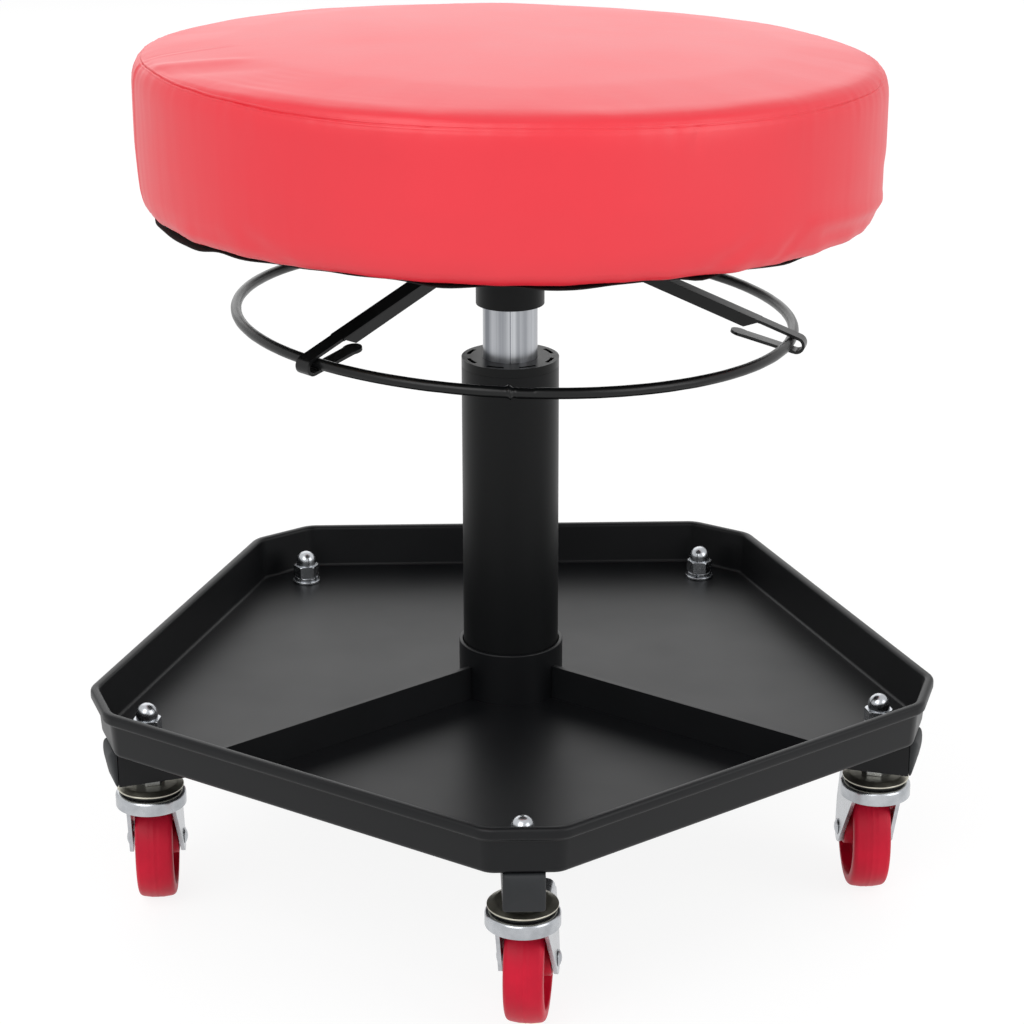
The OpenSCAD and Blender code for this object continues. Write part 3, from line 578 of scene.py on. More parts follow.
@dataclass(frozen=True)
class Ripple:
    """An uneven play of a surface.

    Attributes:
        cell: Size of a swell in plan.
        rise: Its size upwards, or infinite where it runs straight up.
        depth: How far it moves the surface.
        layer: Which layer of the noise it reads.
    """

    cell: float
    rise: float
    depth: float
    layer: float = 0.0

    def at(self, place: Vector) -> float:
        """Gives how far the surface moves at a place."""
        cut = Vector((place.x / self.cell, place.y / self.cell, place.z / self.rise + self.layer))
        return self.depth * noise.noise(cut)


class RingOfCopies:
    """A geometry node group that repeats a piece round the Z axis."""

    INPUTS = {"Source": "Object", "Count": "Int", "Radius": "Float", "Turn": "Float",
              "Finish": "Material"}

    def __init__(self) -> None:
        """Builds the group's tree: a circle of points, a copy on each, turned to face outwards."""
        tree = self.tree = bpy.data.node_groups.new("ring_of_copies", "GeometryNodeTree")
        self.sockets: dict[str, str] = {}
        for name, kind in self.INPUTS.items():
            settings = {"in_out": "INPUT", "socket_type": "NodeSocket" + kind}
            self.sockets[name] = tree.interface.new_socket(name, **settings).identifier
        tree.interface.new_socket("Geometry", in_out="OUTPUT", socket_type="NodeSocketGeometry")
        given = add(tree, "NodeGroupInput").outputs
        source = add(tree, "GeometryNodeObjectInfo", {"Object": given["Source"]})
        sizes = {"Vertices": given["Count"], "Radius": given["Radius"]}
        circle = add(tree, "GeometryNodeMeshCircle", sizes).outputs["Mesh"]
        share = {0: TAU, 1: given["Count"]}
        step = add(tree, "ShaderNodeMath", share, operation="DIVIDE").outputs[0]
        index = add(tree, "GeometryNodeInputIndex").outputs["Index"]
        turn = add(tree, "ShaderNodeMath", {0: index, 1: step}, operation="MULTIPLY").outputs[0]
        facing = add(tree, "ShaderNodeCombineXYZ", {"Z": turn}).outputs["Vector"]
        inputs = {"Points": circle, "Instance": source.outputs["Geometry"], "Rotation": facing}
        copies = add(tree, "GeometryNodeInstanceOnPoints", inputs).outputs["Instances"]
        whole = add(tree, "ShaderNodeCombineXYZ", {"Z": given["Turn"]}).outputs["Vector"]
        moved = {"Geometry": copies, "Rotation": whole}
        placed = add(tree, "GeometryNodeTransform", moved).outputs["Geometry"]
        real = add(tree, "GeometryNodeRealizeInstances", {"Geometry": placed}).outputs["Geometry"]
        surface = {"Geometry": real, "Material": given["Finish"]}
        dressed = add(tree, "GeometryNodeSetMaterial", surface).outputs["Geometry"]
        add(tree, "NodeGroupOutput", {"Geometry": dressed})

    def apply(
        self, name: str, source: Object, finish: Finish, count: int, radius: float, turn: float
    ) -> Object:
        """Makes one piece of the copies.

        Args:
            name: The new piece's name.
            source: The piece to repeat, drawn on the Z axis and facing +X. It is removed.
            finish: The surface of the copies.
            count: How many there are.
            radius: Their distance from the axis in millimetres.
            turn: The angle of the first one in degrees.

        Returns:
            One object with a plain mesh.
        """
        piece = object_of(name, bpy.data.meshes.new(name))
        run = piece.modifiers.new("copies", "NODES")
        run.node_group = self.tree
        values = (source, count, radius * MM, math.radians(turn), finish.material())
        for key, value in zip(self.INPUTS, values):
            run[self.sockets[key]] = value
        baked(piece)
        bpy.data.objects.remove(source)
        return piece


@dataclass
class DressedNode:
    """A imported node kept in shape, with its edges broken and its large faces shaded flat.

    Attributes:
        weld_mm: Distance within which its corners are one.
        flat: Turn in degrees up to which its triangles are one face.
        edge: Turn in degrees from which an edge is broken.
    """

    node: str
    weld_mm: float = 0.002
    flat: float = 0.5
    edge: float = 40.0

    def build(self) -> None:
        """Copies the node, merges its triangles into faces, bevels and dresses it."""
        piece = object_of(self.node + "_dressed", self.merged_copy())
        bevel = piece.modifiers.new("broken_edges", "BEVEL")
        width = for_node(BEVELS, self.node, BROKEN_EDGE)
        bevel.width = width * MM
        bevel.segments = 2 if width < BROAD_EDGE else 3
        bevel.limit_method = "ANGLE"
        bevel.angle_limit = math.radians(self.edge)
        baked(piece)
        sharpen(piece.data)
        weigh = piece.modifiers.new("flat_faces", "WEIGHTED_NORMAL")
        weigh.keep_sharp = True
        baked(piece)
        if self.node in CUT_ROUND_WALLS:
            straighten_walls(piece.data)
        finished(piece, for_node(NODE_FINISHES, self.node), self.node)

    def merged_copy(self) -> Mesh:
        """Copies the node's mesh with its doubles merged and its flat faces joined.

        Returns:
            The copy.
        """
        shape = bmesh.new()
        shape.from_mesh(frame["nodes"][self.node].data)
        bmesh.ops.remove_doubles(shape, verts=shape.verts, dist=self.weld_mm * MM)
        turn = math.radians(self.flat)
        bmesh.ops.dissolve_limit(shape, angle_limit=turn, verts=shape.verts, edges=shape.edges)
        mesh = bpy.data.meshes.new(self.node)
        shape.to_mesh(mesh)
        shape.free()
        return mesh


class Panel(Enum):
    """The panels of the seat's cover, with what the ends of a fold in them are."""

    SIDE = "an angle in degrees and a height in millimetres"
    TOP = "a place in plan in millimetres"


@dataclass(frozen=True)
class Fold:
    """A straight crease of the cover, with soft sides and ends.

    Attributes:
        rise_mm: How far it stands out, or less than zero for a hollow.
        width_mm: Half its width.
        panel: The panel it lies in, whose value says what its two ends are given in.
    """

    start: Point
    end: Point
    rise_mm: float
    width_mm: float
    panel: Panel = Panel.SIDE

    def lift(self, angle: float, height: float, radius: float) -> float:
        """Measures how far the fold moves the cover.

        Args:
            angle: Angle of the place in degrees.
            height: Its height over the seat's underside.
            radius: Its radius.

        Returns:
            The lift in millimetres.
        """
        (x0, y0), (x1, y1) = self.start, self.end
        if self.panel is Panel.TOP:
            here = polar(radius, math.radians(angle), height)
            place, run = (here.x - x0, here.y - y0), (x1 - x0, y1 - y0)
        else:
            degree = math.radians(radius)
            place = angle_between(angle, x0) * degree, height - y0
            run = angle_between(x1, x0) * degree, y1 - y0
        length = math.hypot(*run)
        along = (place[0] * run[0] + place[1] * run[1]) / length
        off = (place[1] * run[0] - place[0] * run[1]) / length
        over = max(-along, along - length, 0.0)
        return self.rise_mm * bell(off, self.width_mm) * bell(over, 2 * self.width_mm)


@dataclass(frozen=True)
class Slump:
    """How the soft seat sits on its board: low at the right and the back, and off centre.

    Attributes:
        right: Its fall towards the right in degrees.
        back: Its fall towards the back in degrees.
        x_mm: How far it lies to the right.
        y_mm: How far it lies to the back.
        starts: Radii between which the underside starts to take part.
    """

    right: float = 1.05
    back: float = 1.4
    x_mm: float = 0.3
    y_mm: float = -2.7
    starts: Point = (90.0, 160.0)

    def settle(self, point: Vector, share: float) -> Vector:
        """Moves a point of the seat.

        Args:
            point: The point.
            share: The share of the whole slump that it takes.

        Returns:
            The point in its new place.
        """
        slopes = math.tan(math.radians(self.right)), math.tan(math.radians(self.back))
        fall = point.x * slopes[0] + point.y * slopes[1]
        return point + Vector((self.x_mm, self.y_mm, -fall)) * share


@dataclass
class Cushion:
    """Round padded seat: foam under vinyl, sewn round its shoulder and drawn in under the board.

    The cover is first inflated by a cloth simulation between its seam and its underside. A ruled
    skin is laid on the result, and takes the seam, its puckers and the folds.

    Attributes:
        sides: Section of the underside and the side, as radius, height and corner radius.
        shoulder: Corner of the section at the seam.
        top_edge: Where the crown of the top starts.
        crown_mm: How far the crown stands over that, drawn at crown_radii.
        outer: Radius past which a place is on the side or the shoulder.
        side_from: Radii between which the side's own play sets in.
        seam_ridge: Height of the ridges along the seam.
        seam_width: Half width of a ridge.
        stitch: Half width of the groove, as a share of that.
        hollow: Share of the groove, and number of widths, over which the cover dips to the seam.
        seam_places: Where the seam lies at an angle, in millimetres up round the shoulder.
        seam_depths: How deep the seam is drawn in at an angle, as a share.
        follow_below: Distances under the seam over which the rings turn to run along it.
        follow_above: Distances over the seam over which they turn back.
        side_seam: Angle of the upright seam that closes the side band.
        side_ridge: Height, distance and width of the ridge beside it.
        side_groove: Depth and width of its groove.
        fades: Distances from the seam at which the side seam and the top's folds are whole.
        girth: Radius at which the unevenness is read.
        foot: Height over which a ring slumps as a whole, and the one below which it lies under
            the seat.
        taper: How far the right side draws in towards its foot.
        bulge: Share of the inflated surface's swell that the skin takes.
        sway: The broad unevenness of the side.
        pulls: Fine upright pulls of the side.
        puckers: The gathers at the seam.
        gather: How far they reach under and over the seam.
        droop: The unevenness of the foot.
        hem: How far that reaches up.
        voxel: Cell size of the simulated blank.
        inset: How far the blank lies inside the section.
        axis_gap: How far its ends stay off the axis.
        cap: The most that the simulation may move the cover.
        held_mm: Heights under which, and near the seam within which, the cover is held.
        cast: How far outside the section the inflated surface is looked for.
        even_out: How many columns to each side its swell is averaged over.
        seam_columns: Columns to each side of the side seam, their distance in degrees, and the
            turn within which they take the place of the even ones.
        ring_steps: Distance between rings of the skin, up to each distance from the seam.
        ends: Distance of the outermost rings from the ends of the section.
    """

    sides: tuple[Corner, ...] = (
        (0.0, 0.3, 0), (150.0, 0.3, 0), (169.0, -0.3, 3), (178.4, -0.4, 3.5), (182.6, 2.6, 6),
        (184.9, 12.0, 14), (186.1, 32.0, 30), (186.1, 46.0, 0),
    )
    shoulder: Corner = (186.0, 76.4, 15.0)
    top_edge: Corner = (170.6, 77.3, 0)
    crown_mm: float = 4.8
    crown_radii: range = range(160, -10, -10)
    corner_steps: int = 12
    outer: float = 180.0
    side_from: Point = (165.0, 182.0)
    seam_height: float = 70.0
    seam_ridge: float = 0.26
    seam_groove: float = 0.42
    seam_width: float = 0.45
    stitch: float = 0.7
    hollow: Point = (0.4, 6.0)
    seam_places: tuple[Point, ...] = (
        (-180, 13.2), (-162, 13.5), (-146, 11.4), (-137, 10.2), (-124, 8.4), (-110, 7.6),
        (-90, 8.0), (-50, 7.2), (-24, 8.2), (-5, 13.0), (120, 10.0), (180, 13.2),
    )
    seam_depths: tuple[Point, ...] = (
        (-180, 1.0), (-128, 1.0), (-104, 0.3), (-62, 0.25), (-28, 0.8), (180, 1.0),
    )
    follow_below: Point = (-20.0, -2.0)
    follow_above: Point = (3.0, 36.0)
    side_seam: float = -169.4
    side_ridge: Corner = (0.5, 2.2, 1.8)
    side_groove: Point = (0.8, 0.6)
    fades: Point = (2.0, 5.0)
    girth: float = 188.0
    foot: Point = (4.0, 1.0)
    taper: float = 0.8
    bulge: float = 0.5
    slump: Slump = Slump()
    sway: Ripple = Ripple(70.0, 70.0, 0.9)
    pulls: Ripple = Ripple(3.5, 60.0, 0.12)
    puckers: Ripple = Ripple(5.5, math.inf, 0.38, 4.0)
    gather: Point = (11.0, 3.5)
    droop: Ripple = Ripple(16.0, math.inf, 0.9, 9.0)
    hem: float = 9.0
    voxel: float = 5.0
    inset: float = 1.2
    axis_gap: float = 0.01
    blank_segments: int = 160
    quality: int = 6
    mass: float = 0.25
    pressure: float = 4.0
    frames: int = 20
    cap: float = 3.5
    held_mm: Point = (1.5, 3.0)
    cast: float = 12.0
    even_out: int = 6
    segments: int = 480
    seam_columns: tuple[int, float, float] = (10, 0.12, 1.4)
    ring_steps: tuple[Point, ...] = ((2.2, 0.16), (5.0, 0.5), (90.0, 2.0), (math.inf, 8.0))
    ends: float = 2.0
    floor: float = field(default=0.0, init=False)
    section: list[Point] = field(default_factory=list, init=False)
    runs: list[float] = field(default_factory=list, init=False)
    folds: tuple[Fold, ...] = (
        Fold((-42, 17), (-6, 10), 1.0, 3.2),
        Fold((-38, 9), (-10, 4), -0.9, 3.6),
        Fold((-22, 34), (-2, 22), -0.5, 6.0),
        Fold((-62, 3), (-57, 12), -0.8, 4.0),
        Fold((-50, 2), (-47, 11), -0.7, 3.0),
        Fold((-125, 1), (-131, 10), -0.7, 4.5),
        Fold((-150, 3), (-140, 3), 0.8, 4.0),
        Fold((-103, 70), (-104, 60), -0.5, 1.6),
        Fold((-65, 70), (-66, 61), -0.5, 1.8),
        Fold((-69, 70), (-69.5, 63), -0.35, 1.4),
        Fold((35, 2), (42, 14), -0.9, 5.0),
        Fold((88, 3), (84, 12), -0.8, 5.0),
        Fold((131, 2), (137, 13), -0.9, 5.0),
        Fold((-176, -58), (-134, -65), 0.9, 6.0, Panel.TOP),
        Fold((-172, -74), (-130, -84), -0.8, 9.0, Panel.TOP),
        Fold((-120, -130), (-60, -168), 0.3, 8.0, Panel.TOP),
    )

    def build(self) -> None:
        """Inflates the cover, lays the skin on it and sews it."""
        self.floor = heights("cushion")[0]
        self.section = self.outline()
        self.runs = self.measured(self.section)
        settled = self.inflated()
        angles = self.skin_angles()
        rings = [self.ring(step, angles, settled) for step in self.skin_steps()]
        piece = skinned("seat_cushion", rings, looped=False)
        sharpen(piece.data, 60.0)
        finished(piece, VINYL_RED, "cushion")

    def outline(self) -> list[Point]:
        """Draws the section of the cover.

        Returns:
            Its points, from under its middle to the middle of its top.
        """
        reach, rise, _ = self.top_edge
        crown = [(x, self.crown_mm * (1 - (x / reach) ** 2)) for x in self.crown_radii]
        top = [(x, rise + swell, 0) for x, swell in crown]
        return rounded([*self.sides, self.shoulder, self.top_edge, *top], self.corner_steps)

    def measured(self, outline: list[Point]) -> list[float]:
        """Measures the section.

        Args:
            outline: Its points.

        Returns:
            Each point's distance along the section from the foot of the shoulder.
        """
        found = [0.0]
        for (x0, y0), (x1, y1) in zip(outline, outline[1:]):
            found.append(found[-1] + math.hypot(x1 - x0, y1 - y0))
        foot = self.shoulder[1] - self.shoulder[2]
        zero = next(r for r, (x, y) in zip(found, outline) if x > self.outer and y >= foot)
        return [run - zero for run in found]

    def at(self, run: float) -> tuple[Point, Vector]:
        """Finds a place of the section.

        Args:
            run: Its distance along the section.

        Returns:
            The point, and its outward direction.
        """
        i = min(max(bisect(self.runs, run), 1), len(self.runs) - 1)
        (x0, y0), (x1, y1) = self.section[i - 1], self.section[i]
        share = (run - self.runs[i - 1]) / max(self.runs[i] - self.runs[i - 1], TINY)
        low, high = self.section[max(i - 2, 0)], self.section[min(i + 1, len(self.section) - 1)]
        normal = Vector((high[1] - low[1], low[0] - high[0])).normalized()
        return (x0 + (x1 - x0) * share, y0 + (y1 - y0) * share), normal

    def skin_steps(self) -> list[float]:
        """Spaces the skin's rings, closest together at the seam.

        Returns:
            Their distances along the section from the seam.
        """
        steps, place = [], self.runs[0] + self.ends
        while place < self.runs[-1] - self.ends:
            steps.append(place)
            place += next(step for reach, step in self.ring_steps if abs(place) < reach)
        return steps

    def skin_angles(self) -> list[float]:
        """Spaces the skin's columns, closest together at the side seam.

        Returns:
            Their angles in degrees.
        """
        count, pitch, clear = self.seam_columns
        even = [360 * j / self.segments - 180 for j in range(self.segments)]
        fine = [self.side_seam + s * pitch for s in range(-count, count + 1)]
        return sorted([a for a in even if abs(a - self.side_seam) > clear] + fine)

    def inflated(self) -> BVHTree:
        """Blows the cover up with cloth and pressure, held at its seam and underside.

        Returns:
            The settled surface, as a tree that rays can be cast on.
        """
        gap = self.axis_gap
        inner = [(max(x - self.inset, gap), y + self.floor) for x, y in self.outline()]
        blank = turned("cushion_blank", inner, self.blank_segments)
        remesh = blank.modifiers.new("even_cells", "REMESH")
        remesh.mode = "VOXEL"
        remesh.voxel_size = self.voxel * MM
        baked(blank)
        rest = [v.co.copy() for v in blank.data.vertices]
        held = blank.vertex_groups.new(name="held")
        held.add([i for i, p in enumerate(rest) if self.is_held(p)], 1.0, "REPLACE")
        cloth = blank.modifiers.new("cover", "CLOTH")
        cloth.settings.quality = self.quality
        cloth.settings.mass = self.mass
        cloth.settings.vertex_group_mass = "held"
        cloth.settings.use_pressure = True
        cloth.settings.uniform_pressure_force = self.pressure
        cloth.settings.effector_weights.gravity = 0.0
        cloth.point_cache.frame_end = self.frames
        for number in range(1, self.frames + 1):
            bpy.context.scene.frame_set(number)
        baked(blank)
        bpy.context.scene.frame_set(1)
        moved = [v.co - p for v, p in zip(blank.data.vertices, rest)]
        shares = [min(1.0, self.cap * MM / max(m.length, TINY * MM)) for m in moved]
        capped = [p + m * share for p, m, share in zip(rest, moved, shares)]
        LOG.info("cover inflated by %.1f mm at most", max(m.length for m in moved) / MM)
        tree = BVHTree.FromPolygons(capped, [list(f.vertices) for f in blank.data.polygons])
        bpy.data.objects.remove(blank)
        return tree

    def is_held(self, place: Vector) -> bool:
        """Tells whether the cover is fixed at a place.

        Args:
            place: The place in metres.

        Returns:
            Whether it is along the seam or under the seat.
        """
        height = place.z / MM - self.floor
        under, near = self.held_mm
        at_seam = abs(height - self.seam_height) < near and place.xy.length / MM > self.outer
        return height < under or at_seam

    def ring(self, step: float, angles: list[float], settled: BVHTree | None) -> list[Vector]:
        """Lays one ring of the skin, which keeps its distance from the seam near it.

        Args:
            step: The ring's distance from the seam along the section.
            angles: The skin's columns.

        Returns:
            The ring's points in millimetres.
        """
        share = smooth_step(step, *self.follow_below) * (1 - smooth_step(step, *self.follow_above))
        runs = [step + share * interpolated(self.seam_places, angle) for angle in angles]
        places = [self.at(run) for run in runs]
        puffs = self.puffs(places, angles, settled)
        ring = []
        for angle, run, ((radius, height), normal), puff in zip(angles, runs, places, puffs):
            out = puff * self.bulge + self.detail(angle, radius, height, run)
            top = self.floor + height + normal.y * out
            point = polar(radius + normal.x * out, math.radians(angle), top)
            whole = height > self.foot[0]
            slumped = 1.0 if whole else smooth_step(radius, *self.slump.starts)
            ring.append(self.slump.settle(point, slumped))
        return ring

    def puffs(
        self, places: list[tuple[Point, Vector]], angles: list[float], settled: BVHTree | None
    ) -> list[float]:
        """Measures how far the inflated surface stands off the section along one ring.

        Args:
            places: The ring's points of the section, with their outward directions.
            angles: The skin's columns.

        Returns:
            The distance at each column, evened out.
        """
        if settled is None or places[0][0][1] < self.foot[1]:
            return [0.0] * len(angles)
        found: list[float] = []
        for angle, ((radius, height), normal) in zip(angles, places):
            a = math.radians(angle)
            way = polar(normal.x, a, normal.y)
            start = polar(radius, a, height + self.floor) - way * self.cast
            distance = settled.ray_cast(start * MM, way, 2 * self.cast * MM)[3]
            found.append(0.0 if distance is None else distance / MM - self.cast)
        near = range(-self.even_out, self.even_out + 1)
        count = len(found)
        return [sum(found[(j + s) % count] for s in near) / len(near) for j in range(count)]

    def detail(self, angle: float, radius: float, height: float, run: float) -> float:
        """Measures how far seams, puckers and folds move the cover outwards.

        Args:
            angle: Angle of the place in degrees.
            radius: Its radius.
            height: Its height over the seat's underside.
            run: Its distance along the section.

        Returns:
            The move in millimetres.
        """
        a = math.radians(angle)
        place = polar(self.girth, a, height)
        below = interpolated(self.seam_places, angle) - run
        gathered = bell(below, self.gather[0] if below > 0 else self.gather[1])
        play = self.sway.at(place) + self.pulls.at(place) + self.puckers.at(place) * gathered
        play += self.droop.at(place) * bell(height, self.hem)
        draw_in = max(math.cos(a), 0.0) ** 2 * (1 - min(height / self.seam_height, 1.0))
        side = smooth_step(radius, *self.side_from)
        out = (play - self.taper * draw_in) * side
        out += self.seam(below) * interpolated(self.seam_depths, angle)
        if below > 0 and radius > self.side_from[0]:
            out += self.side_seam_lift(angle, radius) * smooth_step(below, 0, self.fades[0])
            out += self.folded(Panel.SIDE, angle, height, radius) * side
        elif below < 0:
            share = smooth_step(-below, 0, self.fades[1])
            out += self.folded(Panel.TOP, angle, height, radius) * share
        return out

    def folded(self, panel: Panel, angle: float, height: float, radius: float) -> float:
        """Gives how far the folds of a panel together move the cover at a place."""
        return sum(f.lift(angle, height, radius) for f in self.folds if f.panel is panel)

    def seam(self, below: float) -> float:
        """Shapes the sewn edge: a stitched groove between two low ridges.

        Args:
            below: Distance from the seam.

        Returns:
            The lift of the cover there.
        """
        ridges = bell(abs(below) - 2 * self.seam_width, self.seam_width) * self.seam_ridge
        share, widths = self.hollow
        soft = share * bell(below, widths * self.seam_width)
        return ridges - self.seam_groove * (soft + bell(below, self.stitch * self.seam_width))

    def side_seam_lift(self, angle: float, radius: float) -> float:
        """Shapes the upright seam that closes the side band.

        Args:
            angle: Angle of the place in degrees.
            radius: Its radius.

        Returns:
            The lift of the cover there.
        """
        off = angle_between(angle, self.side_seam) * math.radians(radius)
        (rise, beside, width), (fall, slot) = self.side_ridge, self.side_groove
        return rise * bell(off - beside, width) - fall * bell(off, slot)


@dataclass
class DustCover:
    """Thin black cloth stapled under the seat, which sags past the vinyl in places.

    Attributes:
        reach_mm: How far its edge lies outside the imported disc.
        radii: Radii of its rings, but for the edge and the one that lies rim inside it.
        hang: Width of the edge that sags.
        spread: How far it stands further out where it sags, as a share of the sag.
        ripple: Its unevenness, read on a circle of ripple_circle.
        sags: Each sag's angle and half width in degrees, and its depth in millimetres.
    """

    reach_mm: float = 1.5
    thick: float = 0.5
    radii: tuple[float, ...] = (40, 80, 110, 130, 145, 155, 162, 168, 172)
    rim: float = 1.5
    hang: float = 26.0
    spread: float = 0.6
    ripple: Ripple = Ripple(1.0, 60.0, 0.8)
    ripple_circle: float = 9.0
    segments: int = 288
    slump: Slump = Slump()
    sags: tuple[Corner, ...] = (
        (-168, 8, 3.2), (-154, 9, 3.4), (-146, 4, 1.8), (-136, 6, 1.4), (-101, 5, 2.4),
        (-84, 7, 2.2), (-63, 2.5, 1.4), (-46, 4, 1.0), (-24, 13, -2.2), (75, 8, 1.8),
        (140, 12, 2.0),
    )

    def build(self) -> None:
        """Builds the cloth as a thin disc with a wavy edge."""
        low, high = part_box("dust_cover")
        edge = (high.x - low.x) / 2 / MM + self.reach_mm
        under = [self.ring(r, low.z / MM, edge) for r in (*self.radii, edge - self.rim, edge)]
        over = [[p + Vector((0, 0, self.thick)) for p in ring] for ring in reversed(under)]
        piece = skinned("underseat_cloth", under + over, looped=False)
        sharpen(piece.data, 60.0)
        finished(piece, DUST_CLOTH, "dust_cover")

    def ring(self, radius: float, height: float, edge: float) -> list[Vector]:
        """Lays one ring of the cloth, lower where it sags.

        Args:
            radius: The ring's radius.
            height: Its height where it lies flat.
            edge: Radius of the cloth.

        Returns:
            The ring's points in millimetres.
        """
        share = smooth_step(radius, edge - self.hang, edge)
        ring = []
        for angle in (360 * j / self.segments - 180 for j in range(self.segments)):
            a = math.radians(angle)
            drop = sum(deep * bell(angle_between(angle, at), wide) for at, wide, deep in self.sags)
            uneven = self.ripple.at(polar(self.ripple_circle, a, radius))
            out = max(drop, 0.0) * self.spread * share
            point = polar(radius + out, a, height - (drop + uneven) * share)
            ring.append(self.slump.settle(point, smooth_step(radius, *self.slump.starts)))
        return ring


@dataclass
class Tray:
    """Pressed five-sided tray: drafted walls, a rounded foot and a rolled lip.

    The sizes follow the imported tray, whose floor height is read from the frame.

    Attributes:
        flat_mm: Distance of the five long sides from the middle.
        point_mm: Distance of the five short sides, at the corners.
        corner_round: Radius of the ten corners in plan.
        draft: How far the walls lean out.
        flare: How far the lip stands out.
        neck: Place and radius of the bend under the lip, from the wall and the lip's foot.
        lip_round: Radius of the lip's edges.
        hub_mm: Radius of the floor's opening.
        floor_edge: How much of the floor the section of the walls takes in.
        floor_shares: Where the floor's rings lie, as shares of the way to the walls.
    """

    flat_mm: float = 187.5
    point_mm: float = 219.0
    corner_round: float = 12.0
    draft: float = 1.5
    sheet: float = 1.2
    foot_round: float = 1.9
    depth: float = 24.0
    flare: float = 3.5
    lip: float = 5.4
    neck: Corner = (-0.1, -1.8, 1.6)
    lip_round: float = 2.2
    hub_mm: float = 27.4
    wave: Ripple = Ripple(90.0, math.inf, 0.2)
    arc_steps: int = 10
    side_steps: int = 8
    floor_edge: float = 1.0
    floor_shares: tuple[float, ...] = (0.0, 0.12, 0.3, 0.5, 0.68, 0.82, 0.92, 0.97, 0.99)

    def build(self) -> None:
        """Sweeps the section round the outline, and closes it with the floor."""
        floor = heights("tool_tray")[0] + self.sheet
        sweep = [self.ring(grow, floor + height) for grow, height in self.section()]
        under = [self.floor_ring(sweep[0], share) for share in self.floor_shares]
        over = [self.floor_ring(sweep[-1], share) for share in reversed(self.floor_shares)]
        piece = skinned("pressed_tray", under + sweep + over, looped=True)
        sharpen(piece.data, 50.0)
        finished(piece, POWDER, "tool_tray")

    def section(self) -> list[Point]:
        """Draws the section of the walls.

        Returns:
            Its points, from under the floor, up the outside and down the inside.
        """
        foot, shelf = -self.draft, self.depth - self.lip
        start = foot - self.sheet - self.foot_round - self.floor_edge
        neck_x, neck_y, neck_round = self.neck
        corners = [
            (start, -self.sheet, 0), (foot, -self.sheet, self.foot_round + self.sheet),
            (neck_x, shelf + neck_y, neck_round), (self.flare, shelf, self.lip_round),
            (self.flare, self.depth, self.lip_round), (-self.sheet, self.depth, self.lip_round),
            (foot - self.sheet, 0, self.foot_round), (start, 0, 0),
        ]
        return rounded(corners, 6)

    def ring(self, grow: float, height: float) -> list[Vector]:
        """Draws the tray's outline, with arcs at its ten corners.

        Args:
            grow: How far it lies outside the walls' middle line.
            height: Its height.

        Returns:
            Its points in millimetres.
        """
        radius = max(self.corner_round + grow, self.sheet)
        pitch = 180 / CORNERS
        arcs = []
        for k in range(2 * CORNERS):
            a, b = (math.radians(FRONT + pitch * side) for side in (k, k + 1))
            pair = self.point_mm, self.flat_mm
            da, db = (size + grow - radius for size in (pair[::-1] if k % 2 else pair))
            # The arc's middle lies its radius inside both sides
            turn = math.sin(b - a)
            middle = Vector((da * math.sin(b) - db * math.sin(a),
                             db * math.cos(a) - da * math.cos(b), turn * height)) / turn
            steps = [a + (b - a) * s / self.arc_steps for s in range(self.arc_steps + 1)]
            arcs.append([middle + polar(radius, t, 0) for t in steps])
        shares = [s / self.side_steps for s in range(1, self.side_steps)]
        points = []
        for arc, after in zip(arcs, arcs[1:] + arcs[:1]):
            points += arc + [arc[-1].lerp(after[0], share) for share in shares]
        return points

    def floor_ring(self, edge: list[Vector], share: float) -> list[Vector]:
        """Lays a ring of the floor, not quite flat.

        Args:
            edge: The ring at the foot of the walls.
            share: How far the new ring lies from the hub towards it.

        Returns:
            The ring's points in millimetres.
        """
        ring = []
        for p in edge:
            place = polar(self.hub_mm, math.atan2(p.y, p.x), p.z).lerp(p, share)
            rise = self.wave.at(place) * 4 * share * (1 - share)
            ring.append(place + Vector((0, 0, rise)))
        return ring


@dataclass
class Wheel:
    """Cast tyre: a crowned tread with a mould line, rounded shoulders, deep dishes and a hub.

    Attributes:
        number: Which of the five casters it belongs to.
        hub: Section of the hub, as radius, distance from the middle plane and corner radius.
        tread: Section of the rest, with its radii counted from the tread.
    """

    number: int
    hub: tuple[Corner, ...] = ((5.0, 11.5, 0), (8.7, 11.5, 0.8), (9.5, 3.5, 1.6))
    tread: tuple[Corner, ...] = (
        (-7.2, 3.5, 1.8), (-6.6, 9.8, 1.0), (-1.0, 9.7, 3.6), (0.0, 3.0, 8.0), (0.0, 0.35, 0),
        (0.12, 0, 0),
    )

    def build(self) -> None:
        """Turns the tyre and sets it on its axle."""
        node = f"caster_wheel_{self.number}"
        low, high = heights(node)
        radius = (high - low) / 2
        side = rounded([*self.hub, *((radius + r, z, edge) for r, z, edge in self.tread)], 6)
        outline = side + [(r, -z) for r, z in reversed(side)]
        piece = turned(f"tyre_{self.number}", outline, 128)
        roll = joint(f"roll_{self.number}")
        turn = Vector(roll["axis"]).to_track_quat("Z", "Y").to_matrix().to_4x4()
        piece.data.transform(Matrix.Translation(Vector(roll["pos_m"])) @ turn)
        sharpen(piece.data, 40.0)
        finished(piece, WHEEL_RED, node)


